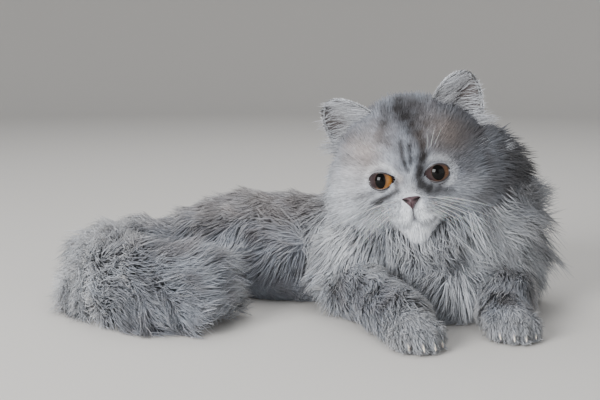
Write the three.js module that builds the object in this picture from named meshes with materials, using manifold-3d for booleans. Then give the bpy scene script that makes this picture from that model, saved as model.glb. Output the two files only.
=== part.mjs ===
// A young long-haired cat, life size, lying on its chest with both forepaws stretched forward,
// the head turned a little and tilted, and the tail swept round beside the hips.
// Millimetres. +X is the cat's left, which a viewer in front sees on the right, +Y runs away from the
// viewer, +Z is up and the floor is z = 0.
import * as THREE from "three";
import { mergeVertices } from "three/addons/utils/BufferGeometryUtils.js";
import Module from "manifold-3d";

const wasm = await Module();
wasm.setup();

// Driving sizes
const GAP = 0.3; // air between neighbouring sub-parts
const LOCK_GAP = 0.45; // air between a lock and another sub-part
const COAT_SHARE = 0.45; // how far a coat's core reaches, as a share of its depth
const EYE_RADIUS = 10.6;
const EYE_SPACING = 41.5; // between the two eye centres
const SKULL_CENTRE = new THREE.Vector3(87.7, -12.3, 119);
const SKULL_RADII = new THREE.Vector3(42, 38, 42);
const HEAD_YAW = -12; // degrees, towards the cat's right
const HEAD_PITCH = -3;
const HEAD_ROLL = -10;
const EYE_HEIGHT = -8; // from the skull's centre
const EYE_DEPTH = -28.5;
const HEAD_GRID = [34, 24]; // columns round the face's axis and rings along it
const EAR_WIDTH = 44;
const EAR_ROOT = 20; // how far an ear's shell runs on into the head
const EAR_WALL = 1.8;
const EAR_CUP = 12; // how deep the cup of an ear is

const RIGHT = -1;
const LEFT = 1;

const TAU = 2 * Math.PI;
const UP = new THREE.Vector3(0, 0, 1);
const point = (x, y, z) => new THREE.Vector3(x, y, z);
const radians = THREE.MathUtils.degToRad;
const bell = (distance, spread) => Math.exp(-(distance * distance) / (2 * spread * spread));

// Surfaces

// A limb or trunk: an elliptical section carried along a smooth line, with rounded ends.
// girth lists half the width and half the height at each point of the line, range is the share
// of the line that is used, and capShare the share of the rows that each end takes.
// The surface stands out from the skin by out, and its two ends by ends.
function limb({ line, girth, startCap, endCap, range = [0, 1], capShare = [0.16, 0.16] }) {
  const middle = new THREE.CatmullRomCurve3(line.map((p) => point(...p)));
  const size = new THREE.CatmullRomCurve3(girth.map(([w, h]) => point(w, h, 0)));
  const [startShare, endShare] = capShare;
  return (angle, v, out = 0, ends = [out, out]) => {
    const share = THREE.MathUtils.clamp((v - startShare) / (1 - startShare - endShare), 0, 1);
    const along = range[0] + (range[1] - range[0]) * share;
    const centre = middle.getPoint(along);
    const forward = middle.getTangent(along);
    const side = new THREE.Vector3().crossVectors(forward, UP).normalize();
    const top = new THREE.Vector3().crossVectors(side, forward);
    const { x: width, y: height } = size.getPoint(along);
    let shrink = 1;
    if (v < startShare) {
      const turn = (v / startShare) * (Math.PI / 2);
      shrink = Math.sin(turn);
      centre.addScaledVector(forward, -(startCap + ends[0]) * Math.cos(turn));
    } else if (v > 1 - endShare) {
      const turn = ((1 - v) / endShare) * (Math.PI / 2);
      shrink = Math.sin(turn);
      centre.addScaledVector(forward, (endCap + ends[1]) * Math.cos(turn));
    }
    return centre
      .addScaledVector(side, (width + out) * shrink * Math.cos(angle))
      .addScaledVector(top, (height + out) * shrink * Math.sin(angle));
  };
}

const headTurn = new THREE.Matrix4().makeRotationFromEuler(
  new THREE.Euler(radians(HEAD_PITCH), radians(HEAD_ROLL), radians(HEAD_YAW), "ZXY"),
);
const headPlace = headTurn.clone().setPosition(SKULL_CENTRE);
const onHead = (x, y, z) => point(x, y, z).applyMatrix4(headPlace);

// Swellings and hollows of the face: direction from the skull's centre, height and spread.
const FACE_FORMS = [
  { to: [0, -0.78, -0.62], high: 8, spread: 0.27 }, // muzzle
  { to: [0.24, -0.74, -0.62], high: 5.5, spread: 0.14, both: true }, // whisker pads
  { to: [0, -0.56, -0.83], high: 12, spread: 0.17 }, // chin
  { to: [0, -0.97, -0.2], high: -2.5, spread: 0.12 }, // break between the eyes
  { to: [0.45, -0.78, 0.42], high: 2.5, spread: 0.22, both: true }, // brows
  { to: [0.5, -0.84, -0.2], high: -3, spread: 0.16, both: true }, // eye hollows
  { to: [0.78, -0.58, -0.22], high: 6.5, spread: 0.22, both: true }, // cheekbones
];
const FACE_FUR = 2.5; // the short fur of the face, always part of the solid
const CROWN_COAT = 9;
const CHEEK_COAT = 26;
const CHEEK = { to: [0.86, -0.12, -0.5], spread: 0.36 };
// Behind the cheeks and under the ears. The hair bunches on the side that the head turns away from.
const MANE = { to: [0.9, 0.35, -0.12], spread: 0.36, coat: { [RIGHT]: 24, [LEFT]: 44 } };

// How deep the coat is in a direction from the skull's centre.
function headCoat(to) {
  const crown = CROWN_COAT * THREE.MathUtils.smoothstep(to.y, -0.8, -0.25);
  let cheeks = 0;
  for (const side of [RIGHT, LEFT]) {
    const cheek = point(CHEEK.to[0] * side, CHEEK.to[1], CHEEK.to[2]).normalize();
    cheeks += (CHEEK_COAT - CROWN_COAT) * bell(cheek.distanceTo(to), CHEEK.spread);
    const mane = point(MANE.to[0] * side, MANE.to[1], MANE.to[2]).normalize();
    cheeks += MANE.coat[side] * bell(mane.distanceTo(to), MANE.spread);
  }
  return crown + cheeks;
}

const faceOut = (to) => FACE_FUR + headCoat(to) * COAT_SHARE;

// The grid's pole is the tip of the face, and its rings crowd there.
function headDirection(angle, v) {
  const fromFace = Math.PI * Math.pow(v, 1.35);
  const ring = Math.sin(fromFace);
  return point(ring * Math.cos(angle), -Math.cos(fromFace), ring * Math.sin(angle));
}

function headSkin(angle, v, out = 0) {
  return headPoint(headDirection(angle, v), out).applyMatrix4(headPlace);
}

function headPoint(to, out = 0) {
  const r = SKULL_RADII;
  let radius = 1 / Math.hypot(to.x / r.x, to.y / r.y, to.z / r.z);
  for (const form of FACE_FORMS) {
    for (const side of form.both ? [1, -1] : [1]) {
      const towards = point(form.to[0] * side, form.to[1], form.to[2]).normalize();
      radius += form.high * bell(towards.distanceTo(to), form.spread);
    }
  }
  return to.clone().multiplyScalar(radius + out);
}

// Solids

function solidOf(geometry) {
  const bare = new THREE.BufferGeometry();
  bare.setAttribute("position", geometry.getAttribute("position"));
  bare.setIndex(geometry.index);
  const merged = mergeVertices(bare, 1e-4);
  const spots = merged.attributes.position.array;
  const corners = new Uint32Array(merged.index.array);
  const [a, b, c] = [point(), point(), point()];
  let volume = 0;
  for (let i = 0; i < corners.length; i += 3) {
    a.fromArray(spots, 3 * corners[i]);
    b.fromArray(spots, 3 * corners[i + 1]);
    c.fromArray(spots, 3 * corners[i + 2]);
    volume += a.dot(b.cross(c));
  }
  if (volume < 0) {
    for (let i = 0; i < corners.length; i += 3) {
      [corners[i + 1], corners[i + 2]] = [corners[i + 2], corners[i + 1]];
    }
  }
  return new wasm.Manifold(
    new wasm.Mesh({ numProp: 3, vertProperties: spots, triVerts: corners }),
  );
}

// A sphere's grid with every vertex moved to place(angle, v), v running from pole to pole.
function shaped(around, along, place) {
  const geometry = new THREE.SphereGeometry(1, around, along);
  const spots = geometry.getAttribute("position");
  const uv = geometry.getAttribute("uv");
  for (let i = 0; i < spots.count; i++) {
    const column = Math.round(uv.getX(i) * around) % around;
    const p = place((TAU * column) / around, 1 - uv.getY(i));
    spots.setXYZ(i, p.x, p.y, p.z);
  }
  return solidOf(geometry);
}

// A surface's solid, grown outwards by a distance, or by one that depends on the place.
const skinned = (surface, around, along, out) =>
  shaped(around, along, (angle, v) =>
    surface(angle, v, typeof out === "function" ? out(angle, v) : out),
  );

// An ellipsoid with its own axes.
function ball(centre, radii, along = [0, -1, 0], grow = 0, around = 16, rows = 10) {
  const turn = new THREE.Quaternion().setFromUnitVectors(
    point(0, -1, 0),
    point(...along).normalize(),
  );
  return shaped(around, rows, (angle, v) => {
    const ring = Math.sin(Math.PI * v);
    return point(
      (radii[0] + grow) * ring * Math.cos(angle),
      -(radii[1] + grow) * Math.cos(Math.PI * v),
      (radii[2] + grow) * ring * Math.sin(angle),
    )
      .applyQuaternion(turn)
      .add(centre);
  });
}

const joined = (solids) => wasm.Manifold.union(solids);
const tube = (line, radius, grow = 0, sides = 6, along = 12) =>
  skinned(
    limb({ line, girth: line.map(() => [radius, radius]), startCap: radius, endCap: radius }),
    sides,
    along,
    grow,
  );

// Locks of the coat
// A lock is flat and tapered, with a low ridge along its top. It leaves its root at one angle from
// the surface and bends over to another, and its tip may swing sideways and sag.
const LOCK_ROWS = [0, 1, 0.75, 0]; // share of the width at each row, root to tip
const ROOT_DEPTH = 2.5; // how far a root is sunk into its core
const FLOOR_CLEARANCE = 1.2;

function lock({ root, normal, lie, length, width, rise, fall, sway = 0, sag = 0 }, grow) {
  const rows = LOCK_ROWS.length - 1;
  const along = lie.clone().addScaledVector(normal, -lie.dot(normal)).normalize();
  const sideways = new THREE.Vector3().crossVectors(normal, along);
  const thick = 0.2 * width;
  const spots = [];
  const spot = root.clone().addScaledVector(normal, -ROOT_DEPTH);
  for (let row = 0; row <= rows; row++) {
    const share = row / rows;
    const lift = radians(THREE.MathUtils.lerp(rise, fall, share));
    const forward = along
      .clone()
      .multiplyScalar(Math.cos(lift))
      .addScaledVector(normal, Math.sin(lift))
      .addScaledVector(sideways, sway * share)
      .addScaledVector(UP, -sag * share)
      .normalize();
    const across = new THREE.Vector3().crossVectors(normal, forward).normalize();
    const over = new THREE.Vector3().crossVectors(forward, across);
    const end = row === 0 ? -2 * grow : row === rows ? 2 * grow : 0;
    const held = Math.max(spot.z, thick / 2 + FLOOR_CLEARANCE);
    spots.push({ centre: spot.clone().setZ(held).addScaledVector(forward, end), across, over });
    spot.addScaledVector(forward, length / rows);
  }
  return shaped(3, rows, (angle, v) => {
    const row = Math.round(v * rows);
    const { centre, across, over } = spots[row];
    const share = LOCK_ROWS[row];
    // The faces of a three-sided form move out half as fast as its ridge, and less at its edges.
    const edges = share > 0 ? 4 * grow : 0;
    const ridge = share > 0 ? 2 * grow : 0;
    const turn = angle + Math.PI / 2;
    return centre
      .clone()
      .addScaledVector(across, (0.58 * width * share + edges) * Math.cos(turn))
      .addScaledVector(over, (0.65 * thick * Math.sqrt(share) + ridge) * Math.sin(turn));
  });
}

// The same run of numbers every time, between 0 and 1.
function numbers(seed) {
  let state = seed;
  return () => {
    state = (state * 1664525 + 1013904223) % 4294967296;
    return state / 4294967296;
  };
}

// Locks in rows over a surface. at(angle, v, out) is the surface and out(angle, v) its core's
// depth. Each row gives its place along v, the angles it spans in degrees and how many locks.
// towards(spot, along, round) is the way the coat lies there: along and round are the surface's
// own two directions.
function locksOver({ at, out, rows, length, width, rise, fall, sag = 0, sway = 0.25, towards, seed }) {
  const next = numbers(seed);
  const vary = (share) => 1 + share * (2 * next() - 1);
  const locks = [];
  rows.forEach(({ v, from, to, count, scale = 1 }, row) => {
    for (let i = 0; i < count; i++) {
      const step = (to - from) / count;
      const angle = radians(from + (i + 0.5 + 0.25 * (row % 2 ? 1 : -1) + 0.3 * (next() - 0.5)) * step);
      const place = THREE.MathUtils.clamp(v + 0.03 * (next() - 0.5), 0.02, 0.98);
      const depth = out(angle, place);
      const root = at(angle, place, depth);
      const normal = at(angle, place, depth + 1).sub(root).normalize();
      const along = at(angle, place + 0.01, depth).sub(at(angle, place - 0.01, depth)).normalize();
      const round = at(angle + 0.02, place, depth).sub(at(angle - 0.02, place, depth)).normalize();
      locks.push({
        root,
        normal,
        lie: towards(root, along, round, angle).normalize(),
        length: length * scale * vary(0.22),
        width: width * Math.sqrt(scale) * vary(0.22),
        rise: rise * vary(0.2),
        fall: fall + 10 * (next() - 0.5),
        sway: sway * (2 * next() - 1),
        sag,
      });
    }
  });
  return locks;
}

// Head

const eyeCentre = (side) => onHead((side * EYE_SPACING) / 2, EYE_DEPTH, EYE_HEIGHT);
const eyeAxis = (side) => point(0.13 * side, -0.98, 0.02).transformDirection(headPlace);

// An eye is the front of a ball, flat behind.
const EYE_BACK = 1; // how far the flat back is behind the ball's centre
const eye = (side) => (grow) => {
  const axis = eyeAxis(side).toArray();
  const whole = ball(eyeCentre(side), [EYE_RADIUS, EYE_RADIUS, EYE_RADIUS], axis, grow, 16, 9);
  return [whole.trimByPlane(axis, eyeAxis(side).dot(eyeCentre(side)) - EYE_BACK - grow)];
};

// The rim of the lids, a ring round the opening.
const LID_RING = 9.9;
const LID_THICKNESS = 1.8;
function lids(side, grow) {
  const ring = new THREE.TorusGeometry(LID_RING, LID_THICKNESS + grow, 5, 18);
  ring.applyQuaternion(new THREE.Quaternion().setFromUnitVectors(UP, eyeAxis(side)));
  const place = eyeCentre(side).addScaledVector(eyeAxis(side), 5.8);
  ring.translate(place.x, place.y, place.z);
  return solidOf(ring);
}

const NOSE_HEIGHT = -24; // from the skull's centre
const nose = (grow) => [
  ball(onHead(0, -42.6, NOSE_HEIGHT), [6.2, 4, 3.8], headForward(), grow, 10, 6),
  ball(onHead(0, -42.3, NOSE_HEIGHT - 3.6), [3, 3.6, 4], headForward(), grow, 6, 5),
];
function headForward() {
  return point(0, -1, 0).transformDirection(headPlace).toArray();
}
const nostrils = () =>
  [1, -1].map((side) =>
    ball(onHead(3.5 * side, -46.2, NOSE_HEIGHT - 0.8), [1.3, 2.4, 1], headForward(), 0, 6, 5),
  );

// A place on the face's surface, by its direction across and up from the skull's centre.
const onFace = ([x, z]) => {
  const to = point(x, -Math.sqrt(Math.max(0, 1 - x * x - z * z)), z);
  return headPoint(to, faceOut(to)).applyMatrix4(headPlace).toArray();
};
const LIP_PARTING = [
  [0, -0.56],
  [0, -0.61],
  [0, -0.66],
];
const LIP_LINE = [
  [0, -0.66],
  [0.11, -0.72],
  [0.22, -0.74],
  [0.33, -0.7],
];
const MOUTH_WIDTH = 1.1; // half the width of the mouth's grooves
const mouthLines = () => [
  tube(LIP_PARTING.map(onFace), MOUTH_WIDTH, 0, 4, 6),
  ...[1, -1].map((side) =>
    tube(LIP_LINE.map(([x, z]) => onFace([x * side, z])), MOUTH_WIDTH, 0, 4, 8),
  ),
];

const head = (grow) => [
  shaped(HEAD_GRID[0], HEAD_GRID[1], (angle, v) =>
    headSkin(angle, v, faceOut(headDirection(angle, v)) + grow),
  ),
  lids(1, grow),
  lids(-1, grow),
];
const headCuts = () => mouthLines();
const headAt = (angle, v, out) => headSkin(angle, v, out);
const headOut = (angle, v) => faceOut(headDirection(angle, v));
const down = (share) => UP.clone().multiplyScalar(-share);
// The cheeks' long hair runs back from the face and down, the crown's straight back.
const headLocks = () => [
  ...locksOver({
    at: headAt,
    out: headOut,
    rows: [
      { v: 0.47, from: -70, to: 20, count: 4, scale: 0.9 },
      { v: 0.47, from: 165, to: 250, count: 4, scale: 0.8 },
      { v: 0.57, from: -60, to: 55, count: 5, scale: 1.35 },
      { v: 0.57, from: 140, to: 240, count: 4 },
      { v: 0.5, from: 250, to: 290, count: 2, scale: 0.8 },
    ],
    length: 36,
    width: 22,
    rise: 42,
    fall: 10,
    sag: 0.35,
    towards: (spot, along) => along.add(down(0.45)),
    seed: 11,
  }),
  ...locksOver({
    at: headAt,
    out: headOut,
    rows: [
      { v: 0.47, from: 48, to: 128, count: 3 },
      { v: 0.58, from: 45, to: 135, count: 3 },
      { v: 0.7, from: 10, to: 170, count: 4 },
    ],
    length: 22,
    width: 21,
    rise: 26,
    fall: 0,
    towards: (spot, along) => along,
    seed: 12,
  }),
];

// An ear is a curved shell, from a root inside the head to its round tip. v runs up the shell.
const EARS = {
  [-1]: { base: [-35, -2, 28], tip: [-56, -7, 57], across: [0.8, -0.25, 0.45] },
  1: { base: [36, -1, 27], tip: [50, -5, 63], across: [0.86, 0.16, -0.45] },
};
function earShell(side) {
  const base = point(...EARS[side].base);
  const tip = point(...EARS[side].tip);
  const upward = tip.clone().sub(base);
  const reach = upward.length();
  upward.normalize();
  const across = point(...EARS[side].across);
  across.addScaledVector(upward, -across.dot(upward)).normalize();
  const back = new THREE.Vector3().crossVectors(upward, across);
  if (back.y < 0) back.negate();
  return (angle, v, out) => {
    const round = Math.sqrt(Math.max(0, 1 - Math.pow(v, 2.4)));
    const halfWidth = (EAR_WIDTH / 2) * round;
    const swing = v === 0 || v === 1 ? 0 : Math.cos(angle) * (1 + out / halfWidth);
    const cup = EAR_CUP * round * (1 - swing * swing);
    const face = v === 0 ? 0 : (EAR_WALL / 2 + out) * Math.sin(angle) * Math.min(1, 4 * round);
    return base
      .clone()
      .addScaledVector(upward, (reach + EAR_ROOT + out) * v - EAR_ROOT)
      .addScaledVector(across, halfWidth * swing)
      .addScaledVector(back, cup + face - 4)
      .applyMatrix4(headPlace);
  };
}
const ear = (side) => (grow) => [skinned(earShell(side), 14, 9, grow)];
// Long hair fills the cup of each ear and fans outwards over its outer rim.
const earLocks = (side) => () => {
  const shell = earShell(side);
  const outwards = point(side, -0.15, 0.25).transformDirection(headPlace);
  return locksOver({
    at: shell,
    out: () => 0,
    rows: [
      { v: 0.5, from: 225, to: 315, count: 2 },
      { v: 0.66, from: 235, to: 305, count: 1, scale: 0.8 },
    ],
    length: 27,
    width: 10,
    rise: 38,
    fall: 12,
    sway: 0.4,
    towards: () => outwards.clone(),
    seed: 20 + side,
  });
};

// Body

const TRUNK_LINE = [
  [124, -2, 46],
  [116, 28, 44],
  [78, 66, 38],
  [18, 86, 34],
  [-42, 86, 34],
  [-84, 82, 32],
];
const TRUNK_GIRTH = [
  [30, 32],
  [44, 44],
  [42, 38],
  [42, 34],
  [43, 34],
  [30, 28],
];
const trunk = limb({ line: TRUNK_LINE, girth: TRUNK_GIRTH, startCap: 12, endCap: 14 });

// The coat is pressed flat underneath, so there the solid keeps all of its depth.
const pressedShare = (angle, v) =>
  THREE.MathUtils.lerp(
    COAT_SHARE,
    1,
    THREE.MathUtils.smoothstep(-Math.sin(angle), 0.45, 0.9) * Math.min(1, 3 * Math.sin(Math.PI * v)),
  );

// The trunk is parted where the shoulders and the loin end.
const SHOULDER_CUT = { through: point(84, 60, 0), facing: point(0.75, -0.66, 0).normalize() };
const LOIN_CUT = { through: point(-4, 86, 0), facing: point(1, 0, 0) };
const keep = (solid, cut, ahead, grow) => {
  const facing = ahead ? cut.facing : cut.facing.clone().negate();
  const offset = facing.dot(cut.through) + GAP / 2 - grow;
  return solid.trimByPlane(facing.toArray(), offset);
};

const CHEST_COAT = 30;
const BACK_COAT = 15;
// The coat is deepest on the breast and shallow over the shoulders.
const chestCoat = (angle, v) =>
  THREE.MathUtils.lerp(
    CHEST_COAT,
    BACK_COAT,
    THREE.MathUtils.smoothstep(Math.sin(angle), -0.1, 0.9) * Math.min(1, 2 * Math.sin(Math.PI * v)),
  );
const chest = (grow) => [
  keep(
    skinned(trunk, 18, 16, (angle, v) => chestCoat(angle, v) * pressedShare(angle, v) + grow),
    SHOULDER_CUT,
    true,
    grow,
  ),
];
const chestOut = (angle, v) => chestCoat(angle, v) * pressedShare(angle, v);
const chestLocks = () =>
  locksOver({
    at: trunk,
    out: chestOut,
    rows: [
      { v: 0.05, from: 20, to: 160, count: 2 },
      { v: 0.11, from: -20, to: 200, count: 5 },
      { v: 0.19, from: -40, to: 220, count: 7 },
      { v: 0.29, from: -20, to: 40, count: 2 },
      { v: 0.36, from: -30, to: 30, count: 2 },
    ],
    length: 42,
    width: 26,
    rise: 32,
    fall: 2,
    sag: 0.5,
    towards: (spot, along, round, angle) =>
      down(1)
        .addScaledVector(along, 0.15)
        .addScaledVector(round, -0.35 * Math.sign(Math.cos(angle))),
    seed: 31,
  });
const backOut = (angle, v) => BACK_COAT * pressedShare(angle, v);
const overBack = (rows, seed) => () =>
  locksOver({
    at: trunk,
    out: backOut,
    rows,
    length: 38,
    width: 32,
    rise: 22,
    fall: 2,
    sag: 0.3,
    towards: (spot, along, round, angle) =>
      along.addScaledVector(round, -0.8 * Math.cos(angle)).add(down(0.1)),
    seed,
  });
const TORSO_LOCKS = [
  { v: 0.45, from: 0, to: 180, count: 4 },
  { v: 0.52, from: -10, to: 190, count: 4 },
  { v: 0.59, from: 0, to: 180, count: 4 },
];
const HIP_LOCKS = [
  { v: 0.7, from: 0, to: 180, count: 4 },
  { v: 0.78, from: 0, to: 180, count: 3 },
  { v: 0.86, from: -10, to: 190, count: 4 },
];
const backSkin = (grow) =>
  skinned(trunk, 18, 16, (angle, v) => BACK_COAT * pressedShare(angle, v) + grow);
const torso = (grow) => [
  keep(keep(backSkin(grow), SHOULDER_CUT, false, grow), LOIN_CUT, true, grow),
];
const hips = (grow) => [keep(backSkin(grow), LOIN_CUT, false, grow)];

const NECK_COAT = 38;
const neckSkin = limb({
  line: [
    [127, 39, 61],
    [115, 26, 80],
    [98, 10, 98],
  ],
  girth: [
    [53, 42],
    [51, 44],
    [42, 40],
  ],
  startCap: 10,
  endCap: 6,
});
const NAPE_COAT = 26;
function neckCoat(angle, v) {
  const front = THREE.MathUtils.clamp(0.75 - 0.9 * Math.sin(angle), 0, 1);
  const ends = v < 0.5 ? 0.6 : 0.1;
  const share = THREE.MathUtils.lerp(ends, front, Math.sin(Math.PI * v));
  return THREE.MathUtils.lerp(NAPE_COAT, NECK_COAT, share);
}
const neck = (grow) => [
  skinned(neckSkin, 18, 10, (angle, v) => neckCoat(angle, v) * COAT_SHARE + grow),
];

const neckOut = (angle, v) => neckCoat(angle, v) * COAT_SHARE;
// The ruff hangs from the throat and the sides of the neck, in three tiers.
const neckLocks = () =>
  locksOver({
    at: neckSkin,
    out: neckOut,
    rows: [
      { v: 0.3, from: 165, to: 375, count: 7 },
      { v: 0.48, from: 165, to: 375, count: 7 },
      { v: 0.66, from: 160, to: 380, count: 6, scale: 0.8 },
      { v: 0.42, from: 20, to: 160, count: 5, scale: 0.75 },
      { v: 0.7, from: 20, to: 160, count: 5, scale: 0.75 },
    ],
    length: 46,
    width: 25,
    rise: 34,
    fall: 4,
    sag: 0.4,
    towards: (spot, along, round, angle) =>
      along.multiplyScalar(-0.7).add(down(0.6)).addScaledVector(round, 0.3 * Math.cos(angle)),
    seed: 41,
  });

const ARMS = {
  [RIGHT]: {
    upper: [
      [82, 22, 62],
      [56, 8, 42],
      [44, -4, 24],
    ],
    fore: [
      [44, -16, 19],
      [59, -48, 18],
      [73, -84, 15],
    ],
    paw: { heel: [74, -88, 13], toes: [86, -124, 8] },
  },
  [LEFT]: {
    upper: [
      [144, 30, 62],
      [158, 22, 44],
      [164, 12, 26],
    ],
    fore: [
      [164, 0, 19],
      [158, -30, 18],
      [153, -60, 15],
    ],
    paw: { heel: [153, -64, 13], toes: [155, -101, 8] },
  },
};
const UPPER_ARM_COAT = 24;
const FOREARM_COAT = 12;
const upperArmSkin = (side) =>
  limb({
    line: ARMS[side].upper,
    girth: [
      [22, 24],
      [20, 22],
      [18, 18],
    ],
    startCap: 10,
    endCap: 8,
  });
const upperArm = (side) => (grow) => [
  skinned(upperArmSkin(side), 12, 9, UPPER_ARM_COAT * COAT_SHARE + grow),
];
const upperArmLocks = (side) => () =>
  locksOver({
    at: upperArmSkin(side),
    out: () => UPPER_ARM_COAT * COAT_SHARE,
    rows: [
      { v: 0.35, from: 0, to: 360, count: 5 },
      { v: 0.6, from: 0, to: 360, count: 5 },
    ],
    length: 40,
    width: 25,
    rise: 30,
    fall: 2,
    sag: 0.3,
    towards: (spot, along) => along.add(down(0.5)),
    seed: 50 + side,
  });

const forearmSkin = (side) =>
  limb({
    line: ARMS[side].fore,
    girth: [
      [15, 16],
      [13, 14],
      [11, 11],
    ],
    startCap: 10,
    endCap: 4,
  });
const forearm = (side) => (grow) => [
  skinned(forearmSkin(side), 12, 9, FOREARM_COAT * COAT_SHARE + grow),
];
// Feathering hangs from the outer side of each forearm and over its wrist.
const forearmLocks = (side) => () =>
  locksOver({
    at: forearmSkin(side),
    out: () => FOREARM_COAT * COAT_SHARE,
    rows: [
      { v: 0.4, from: 0, to: 180, count: 3 },
      { v: 0.65, from: 0, to: 180, count: 3, scale: 0.8 },
    ],
    length: 26,
    width: 15,
    rise: 20,
    fall: 0,
    towards: (spot, along) => along.add(down(0.3)),
    seed: 60 + side,
  });

// A paw: a low pad with four toes side by side.
const TOE_PLACES = [-1.5, -0.5, 0.5, 1.5];
const toeAhead = (place) => 0.86 - 0.08 * place * place; // as a share of the paw's length
function pawParts({ heel, toes }, width, grow, sides = 7) {
  const start = point(...heel);
  const end = point(...toes);
  const forward = end.clone().sub(start);
  const length = forward.length();
  forward.normalize();
  const side = new THREE.Vector3().crossVectors(forward, UP).normalize();
  const body = ball(
    start.clone().addScaledVector(forward, 0.42 * length),
    [width * 0.52, length * 0.62, 14],
    forward.toArray(),
    grow,
    12,
    7,
  );
  const digits = TOE_PLACES.map((place) => {
    const centre = start
      .clone()
      .addScaledVector(forward, toeAhead(place) * length)
      .addScaledVector(side, place * width * 0.25);
    centre.z = 8.5;
    return ball(centre, [width * 0.15, 10, 8.6], forward.toArray(), grow, sides, 5);
  });
  return [body, ...digits];
}

// The claw of one toe, sunk into its tip and curving down to the floor.
const CLAW_LENGTH = 7.5;
const CLAW_RADIUS = 1.6;
const PAW_WIDTH = 34;
function claw({ heel, toes }, place, grow) {
  const start = point(...heel);
  const forward = point(...toes).sub(start);
  const length = forward.length();
  forward.setZ(0).normalize();
  const across = new THREE.Vector3().crossVectors(forward, UP);
  const root = start
    .addScaledVector(forward, toeAhead(place) * length + 5.5)
    .addScaledVector(across, place * PAW_WIDTH * 0.25)
    .setZ(9);
  return shaped(4, 4, (angle, v) => {
    const swell = v > 0 && v < 1 ? Math.sqrt(Math.sin(Math.PI * Math.min(1, 0.15 + v))) : 0;
    const radius = (CLAW_RADIUS + grow) * swell;
    const bend = 1.5 * v * (1 + grow / CLAW_LENGTH);
    return root
      .clone()
      .addScaledVector(forward, CLAW_LENGTH * Math.sin(bend))
      .addScaledVector(across, 0.7 * radius * Math.cos(angle))
      .addScaledVector(UP, radius * Math.sin(angle) - 0.8 * CLAW_LENGTH * (1 - Math.cos(bend)));
  });
}
const forepaw = (side) => (grow) => [
  ...pawParts(ARMS[side].paw, PAW_WIDTH, grow),
  ...TOE_PLACES.map((place) => claw(ARMS[side].paw, place, grow)),
];

const LEGS = {
  [RIGHT]: {
    thigh: [
      [-58, 62, 36],
      [-26, 52, 32],
      [6, 46, 26],
    ],
    foot: { heel: [-42, 34, 10], toes: [24, 24, 8] },
  },
  [LEFT]: {
    thigh: [
      [-58, 108, 36],
      [-26, 120, 32],
      [6, 126, 26],
    ],
    foot: { heel: [-42, 138, 10], toes: [24, 146, 8] },
  },
};
const THIGH_COAT = 12;
const thighSkin = (side) =>
  limb({
    line: LEGS[side].thigh,
    girth: [
      [24, 28],
      [24, 28],
      [19, 22],
    ],
    startCap: 14,
    endCap: 12,
  });
const thigh = (side) => (grow) => [
  skinned(thighSkin(side), 12, 9, THIGH_COAT * COAT_SHARE + grow),
];
const thighLocks = (side) => () =>
  locksOver({
    at: thighSkin(side),
    out: () => THIGH_COAT * COAT_SHARE,
    rows: [
      { v: 0.3, from: 0, to: 180, count: 3 },
      { v: 0.6, from: 0, to: 180, count: 3 },
    ],
    length: 32,
    width: 20,
    rise: 24,
    fall: 0,
    sag: 0.2,
    towards: (spot, along) => along.multiplyScalar(-0.5).add(down(0.8)),
    seed: 70 + side,
  });
const hindfoot = (side) => (grow) => pawParts(LEGS[side].foot, 26, grow, 6);

// Tail

const TAIL_LINE = [
  [-92, 84, 38],
  [-124, 80, 34],
  [-150, 58, 31],
  [-158, 26, 30],
  [-142, -8, 29],
  [-112, -32, 27],
  [-80, -46, 24],
];
const TAIL_SHARES = [0, 0.36, 0.7, 1]; // where one length of the tail ends and the next begins
const TAIL_CORE = 7; // radius of the tail under its coat
const TAIL_COAT = [20, 25, 29, 31, 32, 31, 26]; // at the points of the line
const TAIL_PLUME = 36; // how far the coat runs on behind the tail's end
const tailCoatCurve = new THREE.CatmullRomCurve3(TAIL_COAT.map((coat) => point(coat, 0, 0)));
const TAIL_ROWS = 10;
const TAIL_LENGTHS = TAIL_SHARES.slice(1).map((end, index) => {
  const last = index === TAIL_SHARES.length - 2;
  return {
    start: TAIL_SHARES[index],
    end,
    endOut: last ? TAIL_PLUME * COAT_SHARE : 0,
    skin: limb({
      line: TAIL_LINE,
      girth: TAIL_LINE.map(() => [TAIL_CORE, TAIL_CORE]),
      startCap: 0,
      endCap: 0,
      range: [TAIL_SHARES[index], end],
      capShare: [1 / TAIL_ROWS, last ? 4 / TAIL_ROWS : 1 / TAIL_ROWS],
    }),
  };
});
const tail = (index) => (grow) => {
  const { start, end, endOut, skin } = TAIL_LENGTHS[index];
  return [
    shaped(14, TAIL_ROWS, (angle, v) => {
      const coat = tailCoatCurve.getPoint(THREE.MathUtils.lerp(start, end, v)).x;
      return skin(angle, v, coat * pressedShare(angle, v) + grow, [grow, endOut + grow]);
    }),
  ];
};

// The plume: locks stand out all round the tail and bend towards its end.
const tailLocks = (index) => () => {
  const { start, end, skin } = TAIL_LENGTHS[index];
  const last = index === TAIL_LENGTHS.length - 1;
  const coatAt = (v) => tailCoatCurve.getPoint(THREE.MathUtils.lerp(start, end, v)).x;
  return locksOver({
    at: (angle, v, out) => skin(angle, v, out, [0, TAIL_LENGTHS[index].endOut]),
    out: (angle, v) => coatAt(v) * pressedShare(angle, v),
    rows: [
      { v: 0.16, from: -25, to: 205, count: 4 },
      { v: 0.42, from: -25, to: 205, count: 5 },
      { v: 0.66, from: -25, to: 205, count: 4 },
      ...(last ? [{ v: 0.86, from: -20, to: 200, count: 4 }] : []),
    ],
    length: 43,
    width: 28,
    rise: 38,
    fall: 14,
    sag: 0.2,
    towards: (spot, along) => along,
    seed: 80 + index,
  });
};

// Sub-parts

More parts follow.
